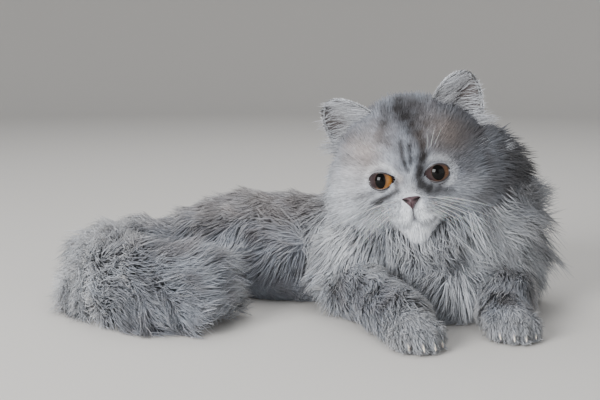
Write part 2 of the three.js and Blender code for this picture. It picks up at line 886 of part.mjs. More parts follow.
const coatSilver = { color: 0x8f9299, roughness: 0.85, metalness: 0 };
const coatPale = { color: 0xb4b6bb, roughness: 0.85, metalness: 0 };
const coatDark = { color: 0x6a6c73, roughness: 0.85, metalness: 0 };
const iris = { color: 0xb0682a, roughness: 0.1, metalness: 0 };
const noseLeather = { color: 0x7d4f56, roughness: 0.5, metalness: 0 };

// Listed so that each sub-part is cut clear of those before it.
const PARTS = [
  { name: "eye_right", finish: iris, pieces: eye(-1) },
  { name: "eye_left", finish: iris, pieces: eye(1) },
  { name: "nose", finish: noseLeather, pieces: nose, cuts: nostrils },
  { name: "head", finish: coatSilver, pieces: head, cuts: headCuts, locks: headLocks },
  { name: "ear_right", finish: coatPale, pieces: ear(-1), locks: earLocks(-1) },
  { name: "ear_left", finish: coatPale, pieces: ear(1), locks: earLocks(1) },
  { name: "forepaw_right", finish: coatPale, pieces: forepaw(RIGHT) },
  { name: "forepaw_left", finish: coatPale, pieces: forepaw(LEFT) },
  { name: "forearm_right", finish: coatSilver, pieces: forearm(RIGHT), locks: forearmLocks(RIGHT) },
  { name: "forearm_left", finish: coatSilver, pieces: forearm(LEFT), locks: forearmLocks(LEFT) },
  { name: "neck", finish: coatPale, pieces: neck, locks: neckLocks },
  { name: "upper_arm_right", finish: coatSilver, pieces: upperArm(RIGHT), locks: upperArmLocks(RIGHT) },
  { name: "upper_arm_left", finish: coatSilver, pieces: upperArm(LEFT), locks: upperArmLocks(LEFT) },
  { name: "chest", finish: coatPale, pieces: chest, locks: chestLocks },
  { name: "hindfoot_right", finish: coatPale, pieces: hindfoot(RIGHT) },
  { name: "hindfoot_left", finish: coatPale, pieces: hindfoot(LEFT) },
  { name: "thigh_right", finish: coatDark, pieces: thigh(RIGHT), locks: thighLocks(RIGHT) },
  { name: "thigh_left", finish: coatDark, pieces: thigh(LEFT), locks: thighLocks(LEFT) },
  { name: "torso", finish: coatDark, pieces: torso, locks: overBack(TORSO_LOCKS, 32) },
  { name: "tail_base", finish: coatDark, pieces: tail(0), locks: tailLocks(0) },
  { name: "hips", finish: coatDark, pieces: hips, locks: overBack(HIP_LOCKS, 33) },
  { name: "tail_middle", finish: coatPale, pieces: tail(1), locks: tailLocks(1) },
  { name: "tail_tip", finish: coatPale, pieces: tail(2), locks: tailLocks(2) },
];

const overlap = (a, b) => {
  const [p, q] = [a.boundingBox(), b.boundingBox()];
  return [0, 1, 2].every((i) => p.min[i] < q.max[i] && q.min[i] < p.max[i]);
};
const clearOf = (solid, others) =>
  others.reduce((left, other) => (overlap(left, other) ? left.subtract(other) : left), solid);
const largest = (solid) =>
  solid.decompose().reduce((best, next) => (next.volume() > best.volume() ? next : best));

function meshOf(solid, name, finish) {
  const { vertProperties, triVerts } = solid.getMesh();
  const geometry = new THREE.BufferGeometry();
  geometry.setAttribute("position", new THREE.BufferAttribute(new Float32Array(vertProperties), 3));
  geometry.setIndex(new THREE.BufferAttribute(new Uint32Array(triVerts), 1));
  geometry.computeVertexNormals();
  const mesh = new THREE.Mesh(geometry, new THREE.MeshStandardMaterial(finish));
  mesh.name = name;
  return mesh;
}

// A lock that would mostly lie in its neighbours is left out, and the rest of each is cut clear.
const LEAST_LEFT = 0.42;
function locksOf({ locks }, others) {
  if (!locks) return [];
  return locks().flatMap((form) => {
    const whole = lock(form, 0);
    const cut = clearOf(whole, others);
    return cut.volume() > LEAST_LEFT * whole.volume() ? [{ form, solid: cut }] : [];
  });
}

const cat = new THREE.Group();
const cores = PARTS.map(({ pieces }) => joined(pieces(GAP)));
const clearings = PARTS.map(({ pieces }) => joined(pieces(LOCK_GAP)));
const grownLocks = [];
PARTS.forEach((part, index) => {
  let solid = joined(part.pieces(0));
  if (part.cuts) solid = solid.subtract(joined(part.cuts()));
  solid = clearOf(solid, cores.slice(0, index));
  const fleece = locksOf(part, clearings.filter((other) => other !== clearings[index]));
  if (fleece.length) {
    const locks = joined(fleece.map((piece) => piece.solid));
    solid = joined([solid, clearOf(locks, grownLocks)]);
  }
  solid = largest(solid.trimByPlane([0, 0, 1], 0));
  grownLocks.push(...fleece.map((piece) => lock(piece.form, LOCK_GAP)));
  cat.add(meshOf(solid, part.name, part.finish));
});

// The origin is under the middle of the whole, on the floor.
const bounds = new THREE.Box3().setFromObject(cat, true);
cat.position.set(-(bounds.min.x + bounds.max.x) / 2, -(bounds.min.y + bounds.max.y) / 2, 0);

export default cat;
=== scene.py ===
"""A young long-haired cat, life size, lying on its chest: skin, coat, face, claws and studio.

The forms are worked out in millimetres, on the same named surfaces as the solids, and placed()
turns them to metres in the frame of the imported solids. +X is the cat's left, +Y runs away from the
viewer and +Z is up.
"""

import math

import bpy
import numpy as np
from bpy.props import FloatProperty, FloatVectorProperty, IntProperty, PointerProperty
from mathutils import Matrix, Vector
from mathutils.bvhtree import BVHTree
from mathutils.kdtree import KDTree


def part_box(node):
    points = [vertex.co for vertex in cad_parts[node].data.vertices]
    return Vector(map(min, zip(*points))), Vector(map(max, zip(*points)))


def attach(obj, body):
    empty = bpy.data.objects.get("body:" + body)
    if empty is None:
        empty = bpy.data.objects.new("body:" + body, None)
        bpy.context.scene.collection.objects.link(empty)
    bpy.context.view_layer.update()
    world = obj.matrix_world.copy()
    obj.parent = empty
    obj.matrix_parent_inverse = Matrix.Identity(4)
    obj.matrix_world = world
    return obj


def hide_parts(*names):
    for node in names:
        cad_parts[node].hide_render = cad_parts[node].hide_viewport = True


bl_info = {
    "name": "Long-haired cat",
    "version": (1, 0, 0),
    "blender": (4, 5, 0),
    "location": "3D View > Sidebar > Cat",
    "description": "Builds the skin, coat, face and claws of a lying long-haired cat",
    "category": "Add Mesh",
}

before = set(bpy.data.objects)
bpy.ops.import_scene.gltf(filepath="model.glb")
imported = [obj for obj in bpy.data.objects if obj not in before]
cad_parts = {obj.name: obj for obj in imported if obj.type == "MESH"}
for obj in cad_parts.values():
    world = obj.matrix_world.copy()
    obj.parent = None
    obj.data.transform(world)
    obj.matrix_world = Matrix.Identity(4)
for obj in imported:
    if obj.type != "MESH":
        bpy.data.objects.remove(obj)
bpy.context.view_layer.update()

TAU = 2 * math.pi
UP = np.array([0.0, 0.0, 1.0])
RIGHT = -1  # the cat's right, on the viewer's left
LEFT = 1

# Sizes shared with the solids, in millimetres
EYE_RADIUS = 10.6
EYE_SPACING = 41.5
SKULL_CENTRE = np.array([87.7, -12.3, 119.0])
SKULL_RADII = np.array([42.0, 38.0, 42.0])
HEAD_YAW = -12
HEAD_PITCH = -3
HEAD_ROLL = -10
EYE_HEIGHT = -8
EYE_DEPTH = -28.5
NOSE_HEIGHT = -24
NOSE_DEPTH = -42.6
EAR_WIDTH = 44
EAR_ROOT = 20
EAR_WALL = 1.8
EAR_CUP = 12
EAR_SETBACK = 4
EAR_ROUNDNESS = 2.4  # of its outline: more than 2 is fuller than an ellipse
EARS = {
    RIGHT: {"base": (-35, -2, 28), "tip": (-56, -7, 57), "across": (0.8, -0.25, 0.45)},
    LEFT: {"base": (36, -1, 27), "tip": (50, -5, 63), "across": (0.86, 0.16, -0.45)},
}

# Swellings and hollows of the face: direction from the skull's centre, height, spread, both sides
FACE_FORMS = [
    ((0, -0.78, -0.62), 8, 0.27, False),  # muzzle
    ((0.24, -0.74, -0.62), 5.5, 0.14, True),  # whisker pads
    ((0, -0.56, -0.83), 12, 0.17, False),  # chin
    ((0, -0.97, -0.2), -2.5, 0.12, False),  # break between the eyes
    ((0.45, -0.78, 0.42), 2.5, 0.22, True),  # brows
    ((0.5, -0.84, -0.2), -3, 0.16, True),  # eye hollows
    ((0.78, -0.58, -0.22), 6.5, 0.22, True),  # cheekbones
]
FACE_FUR = 2.5
CROWN_COAT = 9
CHEEK_COAT = 26
CHEEK = (0.86, -0.12, -0.5)
CHEEK_SPREAD = 0.36
MANE = (0.9, 0.35, -0.12)  # behind each cheek and under each ear
MANE_SPREAD = 0.36
MANE_COAT = {RIGHT: 24, LEFT: 44}  # bunched on the side that the head turns away from

TRUNK_LINE = [
    (124, -2, 46),
    (116, 28, 44),
    (78, 66, 38),
    (18, 86, 34),
    (-42, 86, 34),
    (-84, 82, 32),
]
TRUNK_GIRTH = [(30, 32), (44, 44), (42, 38), (42, 34), (43, 34), (30, 28)]
NECK_LINE = [(127, 39, 61), (115, 26, 80), (98, 10, 98)]
NECK_GIRTH = [(53, 42), (51, 44), (42, 40)]
CHEST_COAT = 30
BACK_COAT = 15
NECK_COAT = 38
NAPE_COAT = 26
ARMS = {
    RIGHT: {
        "upper": [(82, 22, 62), (56, 8, 42), (44, -4, 24)],
        "fore": [(44, -16, 19), (59, -48, 18), (73, -84, 15)],
        "paw": ((74, -88, 13), (86, -124, 8)),
    },
    LEFT: {
        "upper": [(144, 30, 62), (158, 22, 44), (164, 12, 26)],
        "fore": [(164, 0, 19), (158, -30, 18), (153, -60, 15)],
        "paw": ((153, -64, 13), (155, -101, 8)),
    },
}
UPPER_ARM_GIRTH = [(22, 24), (20, 22), (18, 18)]
FOREARM_GIRTH = [(15, 16), (13, 14), (11, 11)]
UPPER_ARM_COAT = 24
FOREARM_COAT = 12
LEGS = {
    RIGHT: {
        "thigh": [(-58, 62, 36), (-26, 52, 32), (6, 46, 26)],
        "foot": ((-42, 34, 10), (24, 24, 8)),
    },
    LEFT: {
        "thigh": [(-58, 108, 36), (-26, 120, 32), (6, 126, 26)],
        "foot": ((-42, 138, 10), (24, 146, 8)),
    },
}
THIGH_GIRTH = [(24, 28), (24, 28), (19, 22)]
THIGH_COAT = 12
PAW_WIDTH = 34
FOOT_WIDTH = 26
PAW_COAT = 2.5
TOE_PLACES = (-1.5, -0.5, 0.5, 1.5)
CLAW_LENGTH = 7.5
CLAW_RADIUS = 1.6
CLAW_BEND = 1.35  # radians, from root to tip
TOE_HEIGHT = 8.5
TAIL_LINE = [
    (-92, 84, 38),
    (-124, 80, 34),
    (-150, 58, 31),
    (-158, 26, 30),
    (-142, -8, 29),
    (-112, -32, 27),
    (-80, -46, 24),
]
TAIL_CORE = 7
TAIL_COAT = (20, 25, 29, 31, 32, 31, 26)

# How deep the skin lies in the coat, as a share of the coat's depth above the body itself.
SKIN_SHARE = 0.25
FACE_SKIN = 1.0
FLOOR_CLEARANCE = 0.5

# Tufts
TUFT_THICKNESS = 0.3  # as a share of a tuft's width
TUFT_ROOT = 0.6  # how deep a tuft's root lies under the skin
UNDERCOAT_SHADE = 0.4  # the skin's own shade, where a tuft has one between 0 and 1
UNDERCOAT_ALONG = 0.5  # the skin's own place between the root and tip of a hair

# Eyes
PUPIL = {RIGHT: (21, 33), LEFT: (26, 32)}  # degrees from the gaze to its edge, aside and upwards
IRIS_TURN = 56  # degrees from the gaze to the edge of the iris
CORNEA_BULGE = 0.9
EYE_TILT = 6  # degrees that the outer corner of the lids stands higher
EYE_TURN = 0.13  # how far the lids' opening looks to the side
GAZE_AT = {RIGHT: (-110, -790, 200), LEFT: (60, -790, 200)}  # the places that the eyes look at
EYE_PAINTED_LIGHT = {RIGHT: 0.9, LEFT: 0.28}  # painted light in each iris: the eye that the head turns away from the light gets less

# Half the width and height of the opening of the lids, and how far its inner corner runs on.
OPENING = (8.3, 5.9)
INNER_CORNER = {RIGHT: 2.0, LEFT: 0.9}
LID_PROFILE = (  # degrees past the rim and millimetres above the ball, round one section
    (0.5, -0.9),
    (-0.5, 0.2),
    (1.0, 0.65),
    (3.0, 0.9),
    (6.0, 0.9),
    (12.0, 0.6),
    (22.0, 0.1),
    (35.0, -2.0),
    (14.0, -2.4),
)
LID_FURRED = range(4, 7)  # the steps of the profile that carry fur

# The mouth's lines: directions from the skull's centre by their x and z.
LIP_PARTING = ((0, -0.6), (0, -0.64), (0, -0.68))
LIP_LINE = ((0, -0.68), (0.09, -0.735), (0.18, -0.752), (0.26, -0.74))
LIP_RADIUS = 0.38
LIP_OUT = 2.2

# The nose leather: its middle and half sizes, and the place round it that has no fur.
LEATHER_PLACE = (0, -42.4, NOSE_HEIGHT - 1.6)
LEATHER_WIDE = 7.8
LEATHER_DEEP = 4.6
LEATHER_ABOVE = 3.4
LEATHER_BELOW = 6.2
LEATHER_BARE = (7.4, 6, 5.6)

WHISKER_WIDTH = 0.36
WHISKER_STEPS = 8

# The camera that the photograph was measured with, before the origin's shift, and the studio.
CAMERA_PLACE = (0, -790.2, 213.1)
CAMERA_DOWN = 9  # degrees
CAMERA_LENS = 60
CAMERA_SENSOR = 36
LIGHTS = (  # place, width and power, in metres and watts
    ("key", (-1.0, -1.2, 0.68), 0.8, 38),
    ("fill", (1.0, -1.5, 0.45), 1.6, 8),
    ("top", (0.0, 0.6, 1.6), 1.5, 15),
)
LIGHTS_AIM = (0.03, 0, 0.08)
BACKDROP_LIGHT = 0.5
FLOOR_RADIUS = 2.2  # metres, where the floor starts to curve up
FLOOR_SIDES = 96


# Small helpers


def unit(vectors):
    """Vectors made one long."""
    vectors = np.asarray(vectors, float)
    return vectors / np.maximum(np.linalg.norm(vectors, axis=-1, keepdims=True), 1e-12)


def bell(distance, spread):
    """1 at no distance, falling off smoothly."""
    return np.exp(-(distance**2) / (2 * spread**2))


def patch_round(to, way, spread):
    """The same for directions round one direction."""
    return bell(np.linalg.norm(to - unit(way), axis=-1), spread)


def rise_between(value, low, high):
    """0 below low, 1 above high and smooth between."""
    t = np.clip((value - low) / (high - low), 0, 1)
    return t * t * (3 - 2 * t)


def together(*values):
    """Numbers and arrays brought to one shape."""
    return np.broadcast_arrays(*(np.asarray(value, float) for value in values))


def across_to(vectors, normals):
    """Vectors with what runs along the normals taken out, one long."""
    return unit(vectors - np.sum(vectors * normals, axis=-1, keepdims=True) * normals)


def turning(pitch, roll, yaw):
    """The matrix that turns by roll about Y, then pitch about X, then yaw about Z, in degrees."""
    cx, cy, cz = (math.cos(math.radians(a)) for a in (pitch, roll, yaw))
    sx, sy, sz = (math.sin(math.radians(a)) for a in (pitch, roll, yaw))
    about_x = np.array([[1, 0, 0], [0, cx, -sx], [0, sx, cx]])
    about_y = np.array([[cy, 0, sy], [0, 1, 0], [-sy, 0, cy]])
    about_z = np.array([[cz, -sz, 0], [sz, cz, 0], [0, 0, 1]])
    return about_z @ about_x @ about_y


HEAD_TURN = turning(HEAD_PITCH, HEAD_ROLL, HEAD_YAW)


def on_head(points):
    """Places given from the skull's centre, in the head's own directions."""
    return np.asarray(points, float) @ HEAD_TURN.T + SKULL_CENTRE


def head_way(vectors):
    """Directions given in the head's own directions."""
    return unit(np.asarray(vectors, float) @ HEAD_TURN.T)


def in_head(points):
    """The direction from the skull's centre to each point, in the head's own directions."""
    return unit((np.asarray(points, float) - SKULL_CENTRE) @ HEAD_TURN)


# The solids' origin is under the middle of the whole. The nose's box tells how far that is.
_nose_low, _nose_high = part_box("nose")
_nose_middle = np.array((_nose_low + _nose_high) / 2) * 1000
ORIGIN = (_nose_middle - on_head((0, NOSE_DEPTH, NOSE_HEIGHT))) * np.array([1, 1, 0])


def placed(points):
    """Millimetres of the solids' own axes, as metres in the frame."""
    return (np.asarray(points, float) + ORIGIN) * 0.001


# Surfaces


def smooth_line(points):
    """The smooth line through some points, as a function of the share of it that is run through."""
    p = np.array(points, float)
    p = np.vstack([2 * p[0] - p[1], p, 2 * p[-1] - p[-2]])
    step = np.sqrt(np.linalg.norm(np.diff(p, axis=0), axis=1))
    last = len(points) - 2

    def at(share):
        share = np.clip(np.asarray(share, float), 0, 1) * (last + 1)
        i = np.minimum(share.astype(int), last)
        t = (share - i)[..., None]
        a, b, c, d = (p[i + k] for k in range(4))
        f = np.where(step[i + 1] < 1e-4, 1.0, step[i + 1])
        e = np.where(step[i] < 1e-4, f, step[i])[..., None]
        g = np.where(step[i + 2] < 1e-4, f, step[i + 2])[..., None]
        f = f[..., None]
        m = ((b - a) / e - (c - a) / (e + f) + (c - b) / f) * f
        n = ((c - b) / f - (d - b) / (f + g) + (d - c) / g) * f
        return b + m * t + (3 * (c - b) - 2 * m - n) * t**2 + (2 * (b - c) + m + n) * t**3

    return at


def limb(line, girth, caps, cap_share=(0.16, 0.16)):
    """An elliptical section carried along a smooth line, with rounded ends.

    The surface is a function of the angle round it, the place along it and how far it stands out.
    """
    middle = smooth_line(line)
    size = smooth_line([(w, h, 0) for w, h in girth])
    start, end = cap_share

    def surface(angle, v, out):
        angle, v, out = together(angle, v, out)
        share = np.clip((v - start) / (1 - start - end), 0, 1)
        centre = middle(share)
        forward = unit(middle(np.minimum(share + 1e-3, 1)) - middle(np.maximum(share - 1e-3, 0)))
        side = unit(np.cross(forward, UP))
        top = np.cross(side, forward)
        width, height = size(share)[..., 0], size(share)[..., 1]
        at_start, at_end = v < start, v > 1 - end
        turn = np.where(at_start, v / start, np.where(at_end, (1 - v) / end, 1)) * math.pi / 2
        shrink = np.sin(turn)
        push = np.where(at_start, -(caps[0] + out), caps[1] + out) * np.cos(turn)
        push = np.where(at_start | at_end, push, 0)
        return (
            centre
            + forward * push[..., None]
            + side * ((width + out) * shrink * np.cos(angle))[..., None]
            + top * ((height + out) * shrink * np.sin(angle))[..., None]
        )

    return surface


def head_coat(to):
    """The depth of the coat in a direction from the skull's centre, beyond the face's own fur."""
    crown = CROWN_COAT * rise_between(to[..., 1], -0.8, -0.25)
    cheeks = 0
    for side in (1, -1):
        cheek, mane = np.array(CHEEK) * (side, 1, 1), np.array(MANE) * (side, 1, 1)
        cheeks = cheeks + (CHEEK_COAT - CROWN_COAT) * patch_round(to, cheek, CHEEK_SPREAD)
        cheeks = cheeks + MANE_COAT[side] * patch_round(to, mane, MANE_SPREAD)
    return crown + cheeks


def head_point(to, out):
    """The head's surface in a direction from the skull's centre, in the head's own axes."""
    radius = 1 / np.linalg.norm(to / SKULL_RADII, axis=-1)
    for towards, high, spread, both in FACE_FORMS:
        for side in (1, -1) if both else (1,):
            radius = radius + high * patch_round(to, np.array(towards) * (side, 1, 1), spread)
    return to * (radius + out)[..., None]


def head_direction(angle, v):
    """The head's grid: its pole is the tip of the face, and its rings crowd there."""
    from_face = math.pi * np.asarray(v, float) ** 1.35
    ring = np.sin(from_face)
    return np.stack([ring * np.cos(angle), -np.cos(from_face), ring * np.sin(angle)], axis=-1)


def head_surface(angle, v, out):
    """The head's surface over its grid."""
    to = head_direction(*np.broadcast_arrays(angle, v))
    return on_head(head_point(to, np.asarray(out, float)))


def head_depth(angle, v):
    """The depth of the whole coat over the head's grid."""
    return FACE_FUR + head_coat(head_direction(*np.broadcast_arrays(angle, v)))


def head_skin(angle, v):
    """How far the head's skin stands out over its grid."""
    return FACE_SKIN + SKIN_SHARE * (head_depth(angle, v) - FACE_FUR)


def ear_surface(side):
    """An ear is a curved shell, from a root inside the head to its round tip."""
    base, tip = (np.array(EARS[side][key], float) for key in ("base", "tip"))
    upward = unit(tip - base)
    reach = np.linalg.norm(tip - base)
    across = across_to(np.array(EARS[side]["across"]), upward)
    back = np.cross(upward, across)
    if back[1] < 0:
        back = -back

    def surface(angle, v, out):
        angle, v, out = together(angle, v, out)
        roundness = np.sqrt(np.maximum(0, 1 - v**EAR_ROUNDNESS))
        half = EAR_WIDTH / 2 * roundness
        swing = np.cos(angle) * (1 + out / np.maximum(half, 1)) * ((v > 0) & (v < 1))
        cup = EAR_CUP * roundness * (1 - swing**2)
        face = (EAR_WALL / 2 + out) * np.sin(angle) * np.minimum(1, 4 * roundness) * (v > 0)
        return on_head(
            base
            + upward * ((reach + EAR_ROOT + out) * v - EAR_ROOT)[..., None]
            + across * (half * swing)[..., None]
            + back * (cup + face - EAR_SETBACK)[..., None]
        )

    return surface


def pressed(angle, v, share):
    """The coat is pressed flat underneath, so there its whole depth is kept."""
    under = rise_between(-np.sin(angle), 0.45, 0.9) * np.minimum(1, 3 * np.sin(math.pi * v))
    return share + (1 - share) * under


def chest_coat(angle, v):
    """Deep in front and underneath, and shallow on top."""
    over = rise_between(np.sin(angle), -0.1, 0.9) * np.minimum(1, 2 * np.sin(math.pi * v))
    return CHEST_COAT + (BACK_COAT - CHEST_COAT) * over


def trunk_coat(angle, v):
    """Deep on the breast, shallow over the shoulders and along the back."""
    behind = rise_between(np.asarray(v, float), 0.3, 0.42)
    return chest_coat(angle, v) * (1 - behind) + BACK_COAT * behind


def neck_coat(angle, v):
    """Deepest under the throat, and shallower along the nape and at both ends."""
    front = np.clip(0.75 - 0.9 * np.sin(angle), 0, 1)
    ends = np.where(np.asarray(v) < 0.5, 0.6, 0.1)
    share = ends + (front - ends) * np.sin(math.pi * np.asarray(v, float))
    return NAPE_COAT + (NECK_COAT - NAPE_COAT) * share


tail_coat_line = smooth_line([(coat, 0, 0) for coat in TAIL_COAT])


def tail_coat(angle, v):
    """Fuller towards the tail's end."""
    return tail_coat_line(np.broadcast_arrays(v, angle)[0])[..., 0]


def trunk_skin(angle, v):
    """How far the trunk's skin stands out."""
    return trunk_coat(angle, v) * pressed(angle, v, SKIN_SHARE)


def tail_skin(angle, v):
    """How far the tail's skin stands out."""
    return tail_coat(angle, v) * pressed(angle, v, SKIN_SHARE)


def even(depth):
    """A coat of one depth."""
    return lambda angle, v: np.full(np.broadcast(angle, v).shape, float(depth))


trunk = limb(TRUNK_LINE, TRUNK_GIRTH, (12, 14))
neck = limb(NECK_LINE, NECK_GIRTH, (10, 6))
tail = limb(TAIL_LINE, [(TAIL_CORE, TAIL_CORE)] * 7, (0, 0), cap_share=(0.04, 0.1))
upper_arm = {side: limb(ARMS[side]["upper"], UPPER_ARM_GIRTH, (10, 8)) for side in (RIGHT, LEFT)}
forearm = {side: limb(ARMS[side]["fore"], FOREARM_GIRTH, (10, 4)) for side in (RIGHT, LEFT)}
thigh = {side: limb(LEGS[side]["thigh"], THIGH_GIRTH, (14, 12)) for side in (RIGHT, LEFT)}


def ball(centre, radii, forward=(0, -1, 0)):
    """An ellipsoid whose second radius runs along forward."""
    forward = unit(forward)
    side = unit(np.cross(forward, UP))
    top = np.cross(side, forward)

    def surface(angle, v, out):
        angle, v, out = together(angle, v, out)
        ring = np.sin(math.pi * v)
        return (
            np.asarray(centre, float)
            + side * ((radii[0] + out) * ring * np.cos(angle))[..., None]
            + forward * ((radii[1] + out) * np.cos(math.pi * v))[..., None]
            + top * ((radii[2] + out) * ring * np.sin(angle))[..., None]
        )

    return surface


def toe_share(place):
    """How far along a foot a toe's middle is."""
    return 0.86 - 0.08 * place * place


def paw_forms(heel, toes, width):
    """A low pad with four toes side by side."""
    start, end = np.array(heel, float), np.array(toes, float)
    length = np.linalg.norm(end - start)
    forward = unit(end - start)
    side = unit(np.cross(forward, UP))
    forms = [ball(start + forward * 0.42 * length, (width * 0.52, length * 0.62, 14), forward)]
    for place in TOE_PLACES:
        centre = start + forward * toe_share(place) * length + side * place * width * 0.25
        centre[2] = TOE_HEIGHT
        forms.append(ball(centre, (width * 0.15, 10, 8.6), forward))
    return forms


# Meshes


def grid_mesh(surface, around, rows, out=0.0):
    """Vertices and faces of a closed surface over angle and place, from pole to pole."""
    angle, v = np.meshgrid(TAU * np.arange(around) / around, np.arange(1, rows) / rows)
    depth = out(angle, v) if callable(out) else out
    ends_out = out(np.array([0.0, 0.0]), np.array([0.0, 1.0])) if callable(out) else out
    rings = surface(angle, v, depth).reshape(-1, 3)
    poles = surface(np.array([0.0, 0.0]), np.array([0.0, 1.0]), ends_out)
    first, last = len(rings), len(rings) + 1
    faces = []
    for row in range(rows - 2):
        for column in range(around):
            a = row * around + column
            b = row * around + (column + 1) % around
            faces.append((a, a + around, b + around, b))
    for column in range(around):
        following = (column + 1) % around
        base = (rows - 2) * around
        faces.append((first, column, following))
        faces.append((last, base + following, base + column))
    return np.vstack([rings, poles]), faces


def mesh_object(name, points, faces):
    """A smooth object at the origin, from points in millimetres, its faces pointing outwards."""
    mesh = bpy.data.meshes.new(name)
    mesh.from_pydata(placed(points).tolist(), [], faces)
    thing = bpy.data.objects.new(name, mesh)
    bpy.context.scene.collection.objects.link(thing)
    pick(thing)
    bpy.ops.object.mode_set(mode="EDIT")
    bpy.ops.mesh.select_all(action="SELECT")
    bpy.ops.mesh.normals_make_consistent(inside=False)
    bpy.ops.object.mode_set(mode="OBJECT")
    bpy.ops.object.shade_smooth()
    return thing


def pick(*things):
    """Selects these objects alone, the first of them active."""
    bpy.ops.object.select_all(action="DESELECT")
    for thing in things:
        thing.select_set(True)
    bpy.context.view_layer.objects.active = things[0]


def join(things, name):
    """One object made of several."""
    pick(*things)
    bpy.ops.object.join()
    thing = bpy.context.view_layer.objects.active
    thing.name = name
    thing.data.name = name
    return thing


def apply_modifier(thing, kind, **settings):
    """Adds a modifier with its settings and applies it."""
    pick(thing)
    modifier = thing.modifiers.new(kind.title(), kind)
    for key, value in settings.items():
        setattr(modifier, key, value)
    bpy.ops.object.modifier_apply(modifier=modifier.name)


def points_of(thing):
    """An object's vertices, in millimetres of the solids' own axes."""
    flat = np.zeros(len(thing.data.vertices) * 3, np.float32)
    thing.data.vertices.foreach_get("co", flat)
    return flat.reshape(-1, 3) * 1000.0 - ORIGIN


def set_points(thing, points):
    """Moves an object's vertices to places in millimetres."""
    thing.data.vertices.foreach_set("co", placed(points).astype(np.float32).ravel())
    thing.data.update()


def set_attribute(thing, name, kind, values):
    """Stores numbers on a mesh's vertices, for its material to read."""
    attribute = thing.data.attributes.new(name, kind, "POINT")
    key = "color" if kind == "FLOAT_COLOR" else "value"
    attribute.data.foreach_set(key, np.asarray(values, np.float32).ravel())


# Markings of a silver tabby, with some painted shade and light among them
# Each is worked out from a place on the body, so the skin and the coat carry the same ones.
# On the head a mark is a line of directions from the skull's centre, given by their x and z, with
# its width and how dark it is. Above 1, its middle is dark right across.

FOREHEAD_MARKS = [
    ([(-0.05, 0.44), (-0.05, 0.17), (0.0, -0.06)], 0.04, 0.85),
    ([(-0.04, 0.93), (0.09, 0.79), (0.27, 0.53)], 0.13, 1.0),
    ([(0.2, 0.62), (0.31, 0.4), (0.32, 0.2), (0.27, 0.0)], 0.085, 1.0),
    ([(0.02, 0.92), (0.19, 0.87), (0.42, 0.62)], 0.12, 0.85),
    ([(-0.24, 0.88), (-0.32, 0.74), (-0.41, 0.56)], 0.08, 0.85),
    ([(0.1, 0.36), (0.08, 0.04)], 0.038, 0.85),
    ([(0.5, 0.43), (0.77, 0.47), (0.93, 0.38)], 0.06, 0.5),
]
CHEEK_MARKS = [
    ([(0.24, -0.04), (0.2, -0.2), (0.2, -0.34), (0.32, -0.42)], 0.075, 1.2),
    ([(-0.24, -0.26), (-0.22, -0.36)], 0.04, 0.9),
    ([(-0.22, -0.37), (-0.4, -0.45), (-0.6, -0.5)], 0.045, 1.0),
    ([(-0.74, -0.34), (-0.62, -0.35)], 0.035, 0.6),
    ([(-0.72, -0.58), (-0.53, -0.59)], 0.035, 0.65),
    ([(0.24, -0.36), (0.38, -0.44), (0.57, -0.46)], 0.06, 0.9),
    ([(-0.3, 0.5), (-0.16, 0.3)], 0.05, 0.35),
    ([(0.76, -0.52), (0.9, -0.36)], 0.06, 0.65),
    ([(0.72, -0.16), (0.95, -0.1)], 0.05, 0.4),
]


# Parts of one tone: dark, pale and fawn.
EAR_SKIN_MARKS = (0.7, 0.0, 0.25)
EAR_BACK_MARKS = (0.35, 0.1, 0.0)
EAR_RIM_MARKS = (0.0, 0.85, 0.1)
EAR_STRAND_MARKS = (0.0, 0.5, 0.15)


def stroke_distance(x, z, line):
    """The distance from places (x, z) to a line of straight runs."""
    best = np.full(x.shape, 9.0)
    for (ax, az), (bx, bz) in zip(line[:-1], line[1:]):
        dx, dz = bx - ax, bz - az
        t = np.clip(((x - ax) * dx + (z - az) * dz) / (dx * dx + dz * dz), 0, 1)
        best = np.minimum(best, np.hypot(x - ax - t * dx, z - az - t * dz))
    return best


def whisker_roots(side):
    """Where the lip's whiskers stand, as x and z on the head."""
    return [
        (side * (0.2 + 0.055 * column), -0.5 - 0.045 * row - 0.01 * column)
        for row in range(4)
        for column in range(4)
    ]


